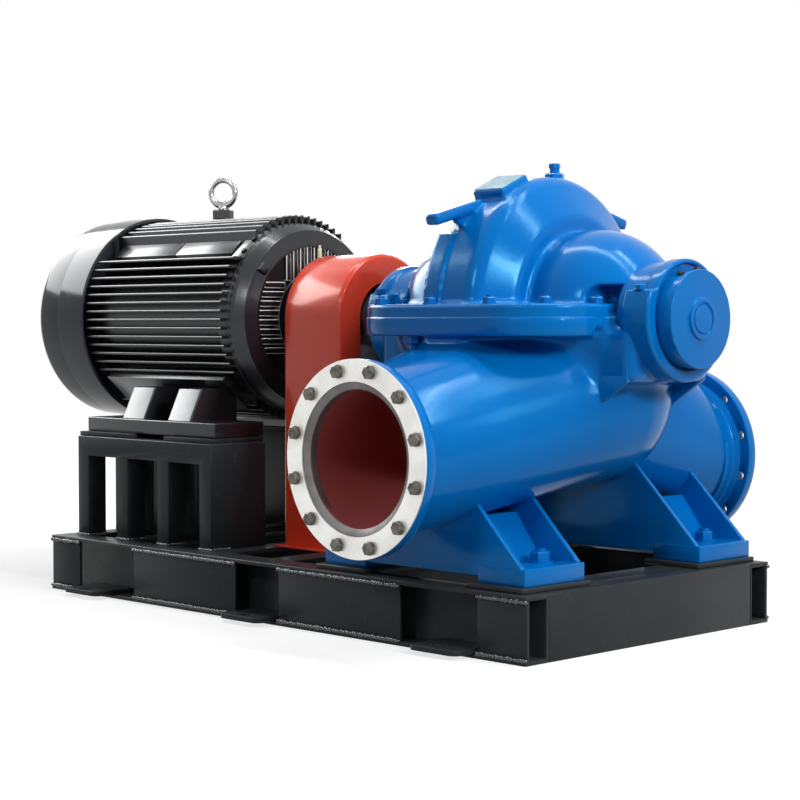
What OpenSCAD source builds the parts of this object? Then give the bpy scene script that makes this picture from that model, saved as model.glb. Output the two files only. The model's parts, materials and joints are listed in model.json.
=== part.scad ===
// Horizontal split case pump, motor and guarded coupling on a welded skid.
// X runs along the shaft towards the pump's free end, -Y is the suction side, +Z is up.
// The origin is on the ground, on the underside of the middle cross beam.

/* [Skid] */
// Length of the skid along the shaft
skid_l = 1760; // [1740:2:1800]
// Width of the skid across the shaft
skid_w = 900; // [880:2:940]
// Height of the skid beams
skid_h = 150; // [120:2:200]
// Width of a side or end beam's flange
beam_flange_w = 76; // [70:1:84]
// Thickness of a beam's flange
beam_flange_t = 10; // [8:1:14]
// Thickness of a beam's web
beam_web_t = 8; // [6:1:12]
// Flange width of a cross beam
cross_beam_w = 80; // [70:2:90]
// Thickness of the plates that close the side beams
cover_t = 8; // [5:1:12]
// Set-back of those plates from the beam's edge
cover_inset = 4; // [2:1:10]
// Length of an anchor tab along the skid
tab_l = 150; // [130:2:156]
// Thickness of an anchor tab
tab_t = 12; // [8:1:20]
// Reach of an anchor tab beyond the beam
tab_reach = 60; // [52:1:80]
// Corner radius of an anchor tab
tab_corner_r = 22; // [10:1:30]
// Diameter of an anchor bolt hole
anchor_d = 28; // [22:1:32]
// Distance of an anchor hole from the beam's edge
anchor_offset = 28; // [22:1:32]
// Place of the anchor tabs under the motor
anchor_motor_x = -670; // [-700:5:-640]
// Place of the middle anchor tabs
anchor_middle_x = -10; // [-40:5:20]
// Place of the anchor tabs under the pump
anchor_pump_x = 652; // [630:2:690]
// Clear length beside a tab's middle, on its short side
pocket_short = 82; // [80:1:90]
// Clear length beside a tab's middle, on its long side
pocket_long = 160; // [120:2:170]

/* [Pedestals] */
// Height of a motor pedestal
pedestal_h = 275; // [240:5:320]
// Length of a motor pedestal
pedestal_l = 582; // [560:2:590]
// Distance from the shaft's plane to a pedestal's inner face
pedestal_y0 = 197; // [180:1:205]
// Distance from the shaft's plane to a pedestal's outer face
pedestal_y1 = 384; // [380:1:400]
// Width of a pedestal leg
leg_w = 48; // [36:1:60]
// Depth of a pedestal leg
leg_depth = 60; // [40:1:70]
// Height of a pedestal's top rail
pedestal_rail_h = 54; // [40:1:70]
// Thickness of the pedestal's back plate
back_plate_t = 6; // [4:1:10]
// Thickness of the pedestal's end plate
end_plate_t = 8; // [6:1:14]
// Thickness of a packer under a motor foot
packer_t = 12; // [8:1:16]
// Length of a packer
packer_l = 236; // [200:2:250]

/* [Motor] */
// Height of the motor's shaft over its feet
motor_shaft_h = 315; // [310:1:330]
// Radius of the motor's barrel
barrel_r = 245; // [235:1:255]
// Radius over the cooling fins
fin_r = 284; // [276:1:290]
// Thickness of a fin
fin_t = 6; // [4:0.5:8]
// Spacing of the fins
fin_pitch = 23.5; // [22:0.5:24]
// Length of the finned frame
frame_l = 609; // [590:1:640]
// Length of the drive end shield
shield_l = 55; // [50:1:70]
// Length of the shield's rim
shield_rim_l = 18; // [12:1:24]
// Radius of the shield's rim
shield_rim_r = 262; // [256:1:272]
// Radius of the shield behind its front edge
shield_r = 246; // [242:1:250]
// Radius of the shield's front edge
shield_front_r = 234; // [228:1:238]
// Depth of the recess in the shield's front
shield_recess = 22; // [12:1:28]
// Wall around that recess
shield_wall = 18; // [12:1:24]
// Radius of the shield's hub
shield_hub_r = 124; // [118:1:132]
// Thickness of a rib in the recess
shield_rib_t = 10; // [6:1:14]
// Length of the motor's bearing cap
cap_l = 26; // [20:1:32]
// Radius of the motor's bearing cap
cap_r = 96; // [86:1:106]
// Length of the fan cowl
cowl_l = 232; // [220:1:250]
// Radius of the fan cowl
cowl_r = 294; // [290:1:300]
// Length of the cowl's rear part
cowl_rear_l = 110; // [90:1:130]
// Step in radius to the cowl's rear part
cowl_step = 5; // [3:1:8]
// Rounding of the cowl's rear edge
cowl_round = 34; // [20:1:50]
// Radius of the motor's shaft
motor_shaft_r = 40; // [35:0.5:45]
// Length of a motor foot
foot_l = 557; // [540:1:570]
// Lead of a motor foot over the frame's drive end
foot_lead = 57; // [50:1:70]
// Height of a motor foot's rail
foot_h = 40; // [30:1:50]
// Distance from the shaft's plane to a foot's outer face
foot_y1 = 350; // [346:1:360]
// Distance from the shaft's plane to a foot's inner face
foot_y0 = 180; // [170:1:190]
// Width of a foot's rib along the shaft
foot_rib_w = 95; // [80:1:105]
// Distance from a foot's rear end to its rear rib's middle
foot_rear_rib = 200; // [180:1:220]
// Distance from a foot's front end to its front rib's middle
foot_front_rib = 158; // [140:1:180]
// Set-back of a foot's rib from the foot's outer face
foot_rib_inset = 6; // [2:1:10]
// Height of a foot's rib
foot_rib_h = 86; // [76:1:96]
// Lean of a foot's rib over its height
foot_rib_lean = 40; // [30:1:60]
// Place of the lifting eye behind the frame's drive end
eye_set_back = 328; // [300:2:360]
// Outside diameter of the lifting eye's ring
eye_d = 108; // [90:1:120]
// Thickness of the lifting eye's ring
eye_bar_d = 22; // [16:1:26]
// Height of the lifting eye's collar
eye_collar_h = 36; // [26:1:46]
// Radius of the lifting eye's collar
eye_collar_r = 30; // [24:1:36]
// Length of the terminal box along the shaft
box_l = 240; // [200:2:280]
// Height of the terminal box
box_h = 200; // [160:2:220]
// Depth of the terminal box
box_depth = 120; // [100:2:140]
// Lip of the terminal box's lid
lid_lip = 8; // [4:1:12]
// Thickness of the terminal box's lid
lid_t = 14; // [8:1:20]
// Diameter of the cable entry
entry_d = 50; // [40:1:63]
// Depth of the cable entry
entry_depth = 40; // [30:1:60]

/* [Coupling and guard] */
// Place of the coupling's gap along the shaft
coupling_x = -118; // [-124:1:-112]
// Gap between the coupling halves
coupling_gap = 6; // [3:0.5:8]
// Radius of the coupling's flanges
coupling_r = 130; // [120:1:140]
// Width of a coupling flange
coupling_flange_l = 40; // [30:1:46]
// Radius of the coupling's hubs
hub_r = 72; // [65:1:80]
// Length of a coupling hub behind its flange
hub_l = 50; // [40:1:54]
// Distance from the coupling's gap to the motor's front
motor_set_back = 172; // [166:1:184]
// Length of the guard along the shaft
guard_l = 216; // [206:1:222]
// Outside radius of the guard's arch
guard_r = 167; // [160:1:176]
// Thickness of the guard's sheet
guard_t = 4; // [2.5:0.5:6]
// Half the width of the opening in a guard's end plate
guard_open_r = 92; // [84:1:100]
// Width of the guard's foot
guard_foot_w = 36; // [28:1:44]
// Thickness of the guard's foot
guard_foot_t = 6; // [4:0.5:10]

/* [Pump] */
// Place of the pump's middle plane along the shaft
pump_x = 520; // [514:1:526]
// Drop from the shaft to the nozzles' centre line
nozzle_drop = 315; // [308:1:322]
// Radius of the volute's rim
volute_r = 336; // [330:1:342]
// Half the width of the volute
volute_half_w = 86; // [80:1:92]
// Half the width of the volute at its root
volute_root_half_w = 124; // [116:1:130]
// Radius at which the volute's faces start to slope
volute_root_r = 226; // [216:1:232]
// Rounding of the volute's rim
volute_round = 45; // [38:1:52]
// Radius of the suction domes
dome_r = 205; // [198:1:212]
// Half the length of the domes' straight part
dome_half_l = 208; // [202:1:214]
// Rounding of the domes' ends
dome_round = 115; // [106:1:118]
// Half the length of the casing between its bearing housings
case_half_l = 340; // [336:1:346]
// Half the length of the split flange's straight side
split_side_half_l = 200; // [190:1:210]
// Half the width of the split flange at its middle
split_half_w = 358; // [352:1:366]
// Half the length of the split flange
split_half_l = 338; // [330:1:339]
// Half the width of the split flange at its ends
split_end_half_w = 218; // [210:1:226]
// Half the length of the split flange over its corners
split_corner_half_l = 300; // [292:1:306]
// Half the width of the split flange over its corners
split_corner_half_w = 318; // [310:1:324]
// Thickness of the upper split flange
split_upper_t = 30; // [24:1:36]
// Thickness of the lower split flange
split_lower_t = 44; // [38:1:50]
// Radius of the suction chambers
chamber_r = 200; // [192:1:206]
// Distance from the middle plane to a suction chamber's centre
chamber_offset = 152; // [145:1:158]
// Drop from the shaft to the suction chambers' centre
chamber_drop = 190; // [180:1:200]
// Radius of the volute's lower bulge
bulge_r = 225; // [215:1:232]
// Drop from the shaft to that bulge's centre
bulge_drop = 165; // [155:1:175]
// Shift of that bulge towards the discharge
bulge_shift = 90; // [80:1:100]
// Half the width of that bulge
bulge_half_w = 120; // [110:1:130]

/* [Nozzles] */
// Distance from the shaft's plane to the suction face
suction_reach = 616; // [600:1:630]
// Diameter of the suction flange
suction_d = 445; // [440:1:460]
// Bolt circle of the suction flange
suction_pcd = 400; // [395:1:410]
// Radius of the suction bore
suction_bore_r = 155; // [150:1:158]
// Depth of the suction bore behind its chamfer
suction_bore_l = 145; // [120:1:150]
// Width of the chamfer at the suction bore
suction_chamfer = 17; // [10:1:18]
// Radius of the suction neck
suction_neck_r = 188; // [182:1:194]
// Distance from the shaft's plane to the discharge face
discharge_reach = 590; // [570:1:600]
// Diameter of the discharge flange
discharge_d = 445; // [440:1:450]
// Bolt circle of the discharge flange
discharge_pcd = 400; // [395:1:405]
// Radius of the discharge bore
discharge_bore_r = 150; // [144:1:152]
// Depth of the discharge bore
discharge_bore_l = 95; // [80:1:100]
// Radius of the discharge neck
discharge_neck_r = 178; // [174:1:182]
// Drop from the suction nozzle's line to the discharge nozzle's
discharge_drop = 38; // [30:1:44]
// Thickness of a nozzle flange
nozzle_flange_t = 28; // [22:1:34]
// Thickness of the suction face ring
face_ring_t = 3; // [2:0.5:5]
// Diameter of a flange bolt hole
bolt_hole_d = 22; // [18:1:24]
// Number of bolts in a nozzle flange
nozzle_bolts = 12; // [8:4:16]

/* [Pump feet] */
// Thickness of a pad under the pump's feet
pump_pad_t = 12; // [8:1:16]
// Distance from the shaft's plane to a pump foot's inner face
pump_foot_y0 = 212; // [206:1:218]
// Distance from the shaft's plane to a pump foot's outer face
pump_foot_y1 = 417; // [410:1:424]
// Half the length of a pump foot
pump_foot_half_l = 320; // [312:1:326]
// Length of a pump foot's base
pump_base_l = 140; // [120:1:150]
// Thickness of a pump foot's base
pump_base_t = 40; // [34:1:46]
// Edge of a pad around a pump foot's base
pump_pad_edge = 12; // [6:1:16]
// Thickness of a pump foot's rib
pump_rib_t = 14; // [12:1:18]
// Height of the rib's lower edge over the pad
pump_rib_lift = 14; // [8:1:18]
// Half the length of a pump rib's top
pump_rib_top_half_l = 75; // [65:1:85]
// Set-back of the rib's sloped edge on the base
pump_rib_set_back = 10; // [6:1:14]
// Thickness of the web between a foot's ribs
pump_web_t = 16; // [12:1:20]
// Distance from the casing's middle to the web's lower edge
pump_web_half_l = 205; // [195:1:215]
// Lean of the web over its height
pump_web_lean = 80; // [70:1:90]
// Height of the web over the base
pump_web_h = 102; // [92:1:112]

/* [Bearings] */
// Radius of a bearing housing
bearing_r = 126; // [120:1:130]
// Radius of a bearing housing's flange
bearing_flange_r = 146; // [140:1:152]
// Length of a bearing housing
bearing_l = 109; // [100:1:118]
// Thickness of a bearing housing's flange
bearing_flange_t = 46; // [40:1:52]
// Thickness of the bearing bracket at the bearing's flange
bracket_t = 20; // [16:1:22]
// Growth of the bearing bracket's radius towards the casing
bracket_flare = 40; // [30:1:46]
// Thickness of a gusset under a bearing bracket
gusset_t = 16; // [12:1:20]
// Distance from the shaft's plane to a gusset's middle
gusset_y = 100; // [90:1:110]
// Height of a gusset under the bracket
gusset_h = 72; // [60:1:84]
// Radius of a bearing cover
bearing_cover_r = 116; // [110:1:120]
// Thickness of a bearing cover
bearing_cover_l = 36; // [30:1:42]
// Radius of the boss on the free end's cover
cover_boss_r = 48; // [40:1:56]
// Height of that boss
cover_boss_l = 8; // [5:1:12]
// Radius of the pump's shaft
pump_shaft_r = 36; // [32:0.5:40]
// Radius of a gland's flange
gland_r = 80; // [74:1:86]
// Thickness of a gland's flange
gland_t = 16; // [12:1:20]
// Radius of a gland's neck
gland_neck_r = 50; // [46:1:56]
// Room around a gland's flange
gland_room = 8; // [4:1:12]

/* [Upper casing] */
// Reach of a lifting lug from the shaft's plane
lug_reach = 366; // [356:1:376]
// Length of a lifting lug, with the part inside the dome
lug_l = 190; // [180:1:200]
// Width of a lifting lug
lug_w = 40; // [30:1:50]
// Thickness of a lifting lug
lug_t = 25; // [18:1:32]
// Droop of a lifting lug towards its tip
lug_droop = 15; // [8:1:20]
// Height of a lifting lug's tip over the shaft
lug_rise = 214; // [206:1:222]
// Side of the square pad on the dome
plate_pad_l = 96; // [80:1:106]
// Height of that pad over the rim
plate_pad_h = 12; // [8:1:18]
// Lean of that pad towards the suction side
plate_pad_lean = 24; // [18:1:30]
// Place of the vent valve from the shaft's plane
vent_y = 45; // [30:1:60]
// Radius of the vent valve
vent_r = 26; // [22:0.5:30]
// Radius of the vent valve's cap
vent_cap_r = 10; // [7:0.5:14]
// Height of the vent valve's hexagon
vent_hex_h = 26; // [20:1:30]
// Height of the vent valve
vent_h = 42; // [34:1:50]

/* [Fits] */
// Clearance between a piece and its curved seat
seat_clearance = 0.3; // [0.1:0.05:0.5]

/* [Hidden] */
$fn = 72;
overlap = 1;
shaft_z = skid_h + pedestal_h + packer_t + motor_shaft_h;
nozzle_z = shaft_z - nozzle_drop;
web_y = skid_w / 2 - beam_flange_w;
cover_h = skid_h - 2 * beam_flange_t;
anchor_y = skid_w / 2 + anchor_offset;
pockets = [
    [anchor_motor_x - pocket_short, anchor_motor_x + pocket_long],
    [anchor_middle_x - pocket_short, anchor_middle_x + pocket_short],
    [anchor_pump_x - pocket_long, anchor_pump_x + pocket_short]
];
cover_spans = [
    [-skid_l / 2, pockets[0][0]],
    [pockets[0][1], pockets[1][0]],
    [pockets[1][1], pockets[2][0]],
    [pockets[2][1], skid_l / 2]
];
guard_x0 = coupling_x - guard_l / 2;
guard_x1 = coupling_x + guard_l / 2;
shield_x1 = coupling_x - motor_set_back;
frame_x1 = shield_x1 - shield_l;
frame_x0 = frame_x1 - frame_l;
foot_x1 = frame_x1 + foot_lead;
foot_x0 = foot_x1 - foot_l;
foot_z = shaft_z - motor_shaft_h;
pedestal_x1 = foot_x0 + pedestal_l;
pedestal_w = pedestal_y1 - pedestal_y0;
pedestal_z1 = skid_h + pedestal_h;
leg_count = 4;
leg_pitch = (pedestal_l - leg_w) / (leg_count - 1);
side_fins = 6.5;
top_fins = 6.5;
pad_angle = 48;
pad_half_w = 28;
pad_drop = 25;
seat_half_w = 62;
shield_ribs = 12;
eye_turn = 12;
motor_hub_x0 = coupling_x - coupling_gap / 2 - coupling_flange_l - hub_l;
pump_hub_x1 = coupling_x + coupling_gap / 2 + coupling_flange_l + hub_l;
dome_end_half_l = dome_half_l + dome_round;
pump_foot_z = skid_h + pump_pad_t;
pump_foot_w = pump_foot_y1 - pump_foot_y0;
bearing_end = case_half_l + bearing_l;
pump_shaft_x1 = pump_x - bearing_end - bearing_cover_l;
suction_face = suction_reach - face_ring_t;
vent_rise = sqrt(volute_r ^ 2 - (vent_y + vent_r) ^ 2);

// Extrudes a section drawn in Y and Z along X
module along_x(x0, length) {
    translate([x0, 0, 0])
        rotate([90, 0, 90])
            linear_extrude(length)
                children();
}

// Extrudes a section drawn in X and Z along Y
module along_y(y0, length) {
    translate([0, y0 + length, 0])
        rotate([90, 0, 0])
            linear_extrude(length)
                children();
}

// Turns a section drawn as radius and length about the shaft's line
module about_shaft(x0) {
    translate([x0, 0, shaft_z])
        rotate([0, 90, 0])
            rotate_extrude()
                children();
}

// Round bar along the shaft's line
module shaft_bar(x0, length, r) {
    translate([x0, 0, shaft_z])
        rotate([0, 90, 0])
            cylinder(h = length, r = r);
}

// Round bar across the shaft at the nozzles' height, from y0 towards the suction side
module nozzle_bar(y0, length, r1, r2) {
    translate([pump_x, y0, nozzle_z])
        rotate([90, 0, 0])
            cylinder(h = length, r1 = r1, r2 = r2);
}

// Ring of bolt holes at a nozzle, from y0 towards the suction side
module nozzle_holes(y0, length, pcd) {
    for (i = [0 : nozzle_bolts - 1])
        translate([pump_x, y0, nozzle_z])
            rotate([90, 0, 0])
                rotate([0, 0, (i + 0.5) * 360 / nozzle_bolts])
                    translate([pcd / 2, 0, 0])
                        cylinder(h = length, d = bolt_hole_d);
}

module far_side() {
    mirror([0, 1, 0])
        children();
}

// Mirrors a piece at the pump's free end to its drive end
module drive_end() {
    translate([2 * pump_x, 0, 0])
        mirror([1, 0, 0])
            children();
}

// Channel section whose open side faces -X of the drawing
module channel_section(length) {
    square([length, beam_flange_t]);
    translate([0, skid_h - beam_flange_t])
        square([length, beam_flange_t]);
    translate([length - beam_web_t, 0])
        square([beam_web_t, skid_h]);
}

module side_beam() {
    color("#26282b")
        along_x(-skid_l / 2, skid_l)
            translate([-skid_w / 2, 0])
                channel_section(beam_flange_w);
}

module end_beam() {
    color("#26282b")
        along_y(-web_y, 2 * web_y)
            translate([skid_l / 2 - beam_flange_w, 0])
                channel_section(beam_flange_w);
}

module cross_beam(x) {
    along_y(-web_y, 2 * web_y)
        translate([x - cross_beam_w / 2, 0]) {
            square([cross_beam_w, beam_flange_t]);
            translate([0, skid_h - beam_flange_t])
                square([cross_beam_w, beam_flange_t]);
            translate([cross_beam_w / 2 - beam_web_t / 2, 0])
                square([beam_web_t, skid_h]);
        }
}

module near_side_beam() {
    side_beam();
}

module far_side_beam() {
    far_side() side_beam();
}

module pump_end_beam() {
    end_beam();
}

module motor_end_beam() {
    mirror([1, 0, 0]) end_beam();
}

module middle_cross_beam() {
    color("#26282b") cross_beam(0);
}

module motor_cross_beams() {
    color("#26282b") {
        for (i = [1 : leg_count - 2])
            cross_beam(foot_x0 + leg_w / 2 + i * leg_pitch);
        cross_beam((pedestal_x1 + guard_x0) / 2);
    }
}

module pump_cross_beams() {
    color("#26282b")
        for (side = [-1, 1])
            cross_beam(pump_x + side * (pump_foot_half_l - pump_base_l / 2));
}

module near_cover_plates() {
    color("#1d1f22")
        for (span = cover_spans)
            translate([span[0], -skid_w / 2 + cover_inset, beam_flange_t])
                cube([span[1] - span[0], cover_t, cover_h]);
}

module far_cover_plates() {
    far_side() near_cover_plates();
}

module anchor_tab(x) {
    depth = beam_flange_w - beam_web_t + tab_reach;
    translate([x, -web_y - beam_web_t, beam_flange_t])
        mirror([0, 1, 0])
            linear_extrude(tab_t)
                difference() {
                    union() {
                        translate([-tab_l / 2, 0])
                            square([tab_l, depth - tab_corner_r]);
                        translate([-tab_l / 2 + tab_corner_r, 0])
                            square([tab_l - 2 * tab_corner_r, depth]);
                        for (side = [-1, 1])
                            translate([side * (tab_l / 2 - tab_corner_r), depth - tab_corner_r])
                                circle(r = tab_corner_r);
                    }
                    translate([0, anchor_y - web_y - beam_web_t])
                        circle(d = anchor_d);
                }
}

module near_anchor_tabs() {
    color("#303236")
        for (x = [anchor_motor_x, anchor_middle_x, anchor_pump_x])
            anchor_tab(x);
}

module far_anchor_tabs() {
    far_side() near_anchor_tabs();
}

module pump_pads() {
    color("#1b1c1e")
        for (end = [-1, 1], side = [-1, 1])
            translate([
                pump_x + end * (pump_foot_half_l - pump_base_l / 2) - pump_base_l / 2 - pump_pad_edge,
                side * (pump_foot_y0 + pump_foot_w / 2) - pump_foot_w / 2 - pump_pad_edge,
                skid_h
            ])
                cube([pump_base_l + 2 * pump_pad_edge, pump_foot_w + 2 * pump_pad_edge, pump_pad_t]);
}

module near_pedestal() {
    window_l = leg_pitch - leg_w;
    window_h = pedestal_h - pedestal_rail_h;
    color("#202225")
        difference() {
            translate([foot_x0, -pedestal_y1, skid_h])
                cube([pedestal_l, pedestal_w, pedestal_h]);
            for (i = [0 : leg_count - 2])
                translate([foot_x0 + leg_w + i * leg_pitch, -pedestal_y1 - overlap, skid_h - overlap])
                    cube([window_l, pedestal_w - back_plate_t + overlap, window_h + overlap]);
            translate([foot_x0 - overlap, -pedestal_y1 + leg_depth, skid_h - overlap])
                cube([pedestal_l - end_plate_t + overlap, pedestal_w - 2 * leg_depth, window_h + overlap]);
        }
}

module far_pedestal() {
    far_side() near_pedestal();
}

module motor_packers() {
    color("#2c2e31")
        for (x = [foot_x0, foot_x1 - packer_l], side = [-1, 1])
            translate([x, side * (foot_y0 + foot_y1) / 2 - (foot_y1 - foot_y0) / 2, pedestal_z1])
                cube([packer_l, foot_y1 - foot_y0, packer_t]);
}

module near_motor_foot() {
    color("#17181a")
        difference() {
            union() {
                translate([foot_x0, -foot_y1, foot_z])
                    cube([foot_l, foot_y1 - foot_y0, foot_h]);
                for (x = [foot_x0 + foot_rear_rib, foot_x1 - foot_front_rib])
                    along_x(x - foot_rib_w / 2, foot_rib_w)
                        polygon([
                            [-foot_y1 + foot_rib_inset, foot_z + foot_h],
                            [-foot_y1 + foot_rib_inset + foot_rib_lean, foot_z + foot_h + foot_rib_h],
                            [-foot_y0, foot_z + foot_h + foot_rib_h],
                            [-foot_y0, foot_z + foot_h]
                        ]);
            }
            shaft_bar(frame_x0 - overlap, frame_l + shield_l + 2 * overlap, fin_r + seat_clearance);
        }
}

module far_motor_foot() {
    far_side() near_motor_foot();
}

module motor_section() {
    circle(r = barrel_r);
    intersection() {
        circle(r = fin_r);
        union() {
            for (i = [-side_fins : side_fins])
                translate([-fin_r, i * fin_pitch - fin_t / 2])
                    square([2 * fin_r, fin_t]);
            for (i = [-top_fins : top_fins])
                translate([i * fin_pitch - fin_t / 2, -fin_r])
                    square([fin_t, 2 * fin_r]);
            for (angle = [pad_angle, 180 - pad_angle])
                rotate(angle)
                    translate([0, -pad_half_w])
                        square([fin_r - pad_drop, 2 * pad_half_w]);
            for (angle = [-pad_angle, pad_angle - 180])
                rotate(angle)
                    translate([0, -seat_half_w])
                        square([fin_r, 2 * seat_half_w]);
        }
    }
}

module motor_frame() {
    color("#151618")
        along_x(frame_x0, frame_l)
            translate([0, shaft_z])
                motor_section();
}

module drive_end_shield() {
    recess_r = shield_front_r - shield_wall;
    recess_cut = shield_recess + 2 * overlap;
    color("#191a1c")
        difference() {
            about_shaft(frame_x1)
                polygon([
                    [0, 0],
                    [shield_rim_r, 0],
                    [shield_rim_r, shield_rim_l],
                    [shield_r, shield_rim_l],
                    [shield_front_r, shield_l],
                    [0, shield_l]
                ]);
            difference() {
                shaft_bar(shield_x1 - shield_recess, shield_recess + overlap, recess_r);
                shaft_bar(shield_x1 - recess_cut, 2 * recess_cut, shield_hub_r);
                for (i = [0 : shield_ribs / 2 - 1])
                    translate([shield_x1 - shield_recess / 2, 0, shaft_z])
                        rotate([i * 360 / shield_ribs, 0, 0])
                            cube([recess_cut, shield_rib_t, 2 * shield_r], center = true);
            }
        }
}

module motor_bearing_cap() {
    color("#1e1f22")
        difference() {
            shaft_bar(shield_x1, cap_l, cap_r);
            shaft_bar(shield_x1 - overlap, cap_l + 2 * overlap, motor_shaft_r + seat_clearance);
        }
}

module fan_cowl() {
    rear_r = cowl_r - cowl_step;
    color("#101113")
        about_shaft(frame_x0 - cowl_l) {
            translate([0, cowl_rear_l])
                square([cowl_r, cowl_l - cowl_rear_l]);
            translate([0, cowl_round])
                square([rear_r, cowl_rear_l - cowl_round]);
            square([rear_r - cowl_round, cowl_rear_l]);
            intersection() {
                square([rear_r, cowl_rear_l]);
                translate([rear_r - cowl_round, cowl_round])
                    circle(r = cowl_round);
            }
        }
}

module terminal_box() {
    box_x = (frame_x0 + frame_x1) / 2;
    box_y = fin_r + seat_clearance;
    color("#17181a")
        difference() {
            union() {
                translate([box_x - box_l / 2, box_y, shaft_z - box_h / 2])
                    cube([box_l, box_depth, box_h]);
                translate([box_x - box_l / 2 - lid_lip, box_y + box_depth - lid_t, shaft_z - box_h / 2 - lid_lip])
                    cube([box_l + 2 * lid_lip, lid_t, box_h + 2 * lid_lip]);
            }
            translate([box_x, box_y + box_depth / 2, shaft_z - box_h / 2 - overlap])
                cylinder(h = entry_depth + overlap, d = entry_d);
        }
}

module lifting_eye() {
    ring_r = eye_d / 2 - eye_bar_d / 2;
    eye_z = shaft_z + fin_r;
    color("#c9cbcd")
        translate([frame_x1 - eye_set_back, 0, eye_z]) {
            cylinder(h = eye_collar_h, r = eye_collar_r);
            translate([0, 0, eye_collar_h + ring_r])
                rotate([90, 0, eye_turn])
                    rotate_extrude()
                        translate([ring_r, 0])
                            circle(d = eye_bar_d);
        }
}

module motor_shaft() {
    color("#9b9da0")
        shaft_bar(shield_x1, motor_set_back - coupling_gap / 2, motor_shaft_r);
}

// Coupling half whose hub starts at the section's foot
module coupling_section(bore_r) {
    translate([bore_r, 0])
        square([hub_r - bore_r, hub_l + coupling_flange_l]);
    translate([bore_r, hub_l])
        square([coupling_r - bore_r, coupling_flange_l]);
}

module motor_coupling_half() {
    color("#6d6f72")
        about_shaft(motor_hub_x0)
            coupling_section(motor_shaft_r + seat_clearance);
}

module pump_coupling_half() {
    color("#6d6f72")
        about_shaft(pump_hub_x1)
            mirror([0, 1])
                coupling_section(pump_shaft_r + seat_clearance);
}

module guard_outline(r) {
    translate([0, shaft_z])
        circle(r = r);
    translate([-r, skid_h])
        square([2 * r, shaft_z - skid_h]);
}

module coupling_guard() {
    color("#963c32") {
        along_x(guard_x0, guard_l)
            difference() {
                guard_outline(guard_r);
                guard_outline(guard_r - guard_t);
            }
        for (x = [guard_x0, guard_x1 - guard_t])
            along_x(x, guard_t)
                difference() {
                    guard_outline(guard_r);
                    guard_outline(guard_open_r);
                }
        for (y = [-guard_r - guard_foot_w, guard_r - guard_t])
            translate([guard_x0, y, skid_h])
                cube([guard_l, guard_foot_w + guard_t, guard_foot_t]);
    }
}

module pump_shaft() {
    color("#9b9da0")
        shaft_bar(
            coupling_x + coupling_gap / 2,
            pump_shaft_x1 - coupling_x - coupling_gap / 2,
            pump_shaft_r
        );
}

// Half section of the turned casing: a volute between two suction domes
module casing_section() {
    translate([0, -volute_half_w])
        square([volute_r - volute_round, 2 * volute_half_w]);
    translate([0, volute_round - volute_half_w])
        square([volute_r, 2 * (volute_half_w - volute_round)]);
    for (side = [-1, 1])
        translate([volute_r - volute_round, side * (volute_half_w - volute_round)])
            circle(r = volute_round);
    polygon([
        [0, -volute_root_half_w],
        [volute_root_r, -volute_root_half_w],
        [volute_r - volute_round, -volute_half_w],
        [volute_r - volute_round, volute_half_w],
        [volute_root_r, volute_root_half_w],
        [0, volute_root_half_w]
    ]);
    translate([0, -dome_half_l])
        square([dome_r, 2 * dome_half_l]);
    translate([0, -dome_end_half_l])
        square([dome_r - dome_round, 2 * dome_end_half_l]);
    for (side = [-1, 1])
        intersection() {
            translate([0, -dome_end_half_l])
                square([dome_r, 2 * dome_end_half_l]);
            translate([dome_r - dome_round, side * dome_half_l])
                circle(r = dome_round);
        }
}

module split_outline() {
    translate([pump_x, 0])
        polygon([
            [-split_half_l, -split_end_half_w],
            [-split_corner_half_l, -split_corner_half_w],
            [-split_side_half_l, -split_half_w],
            [split_side_half_l, -split_half_w],
            [split_corner_half_l, -split_corner_half_w],
            [split_half_l, -split_end_half_w],
            [split_half_l, split_end_half_w],
            [split_corner_half_l, split_corner_half_w],
            [split_side_half_l, split_half_w],
            [-split_side_half_l, split_half_w],
            [-split_corner_half_l, split_corner_half_w],
            [-split_half_l, split_end_half_w]
        ]);
}

// Round notch in the split flanges that leaves a gland free
module gland_notch() {
    shaft_bar(pump_x + dome_end_half_l, case_half_l - dome_end_half_l, gland_r + gland_room);
}

// Block that takes in all of the pump above or below the split
module half_space(z0, height) {
    translate([pump_x - bearing_end, -suction_reach, z0])
        cube([2 * bearing_end, suction_reach + discharge_reach, height]);
}

module suction_body() {
    hull() {
        nozzle_bar(nozzle_flange_t - suction_face, nozzle_flange_t, suction_neck_r, suction_neck_r, $fn = 48);
        for (side = [-1, 1])
            translate([pump_x + side * chamber_offset, 0, shaft_z - chamber_drop])
                sphere(r = chamber_r, $fn = 32);
    }
}

module discharge_body() {
    hull() {
        translate([0, 0, -discharge_drop])
            nozzle_bar(discharge_reach, nozzle_flange_t, discharge_neck_r, discharge_neck_r, $fn = 48);
        translate([pump_x - bulge_half_w, bulge_shift, shaft_z - bulge_drop])
            rotate([0, 90, 0])
                cylinder(h = 2 * bulge_half_w, r = bulge_r, $fn = 48);
    }
}

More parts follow.
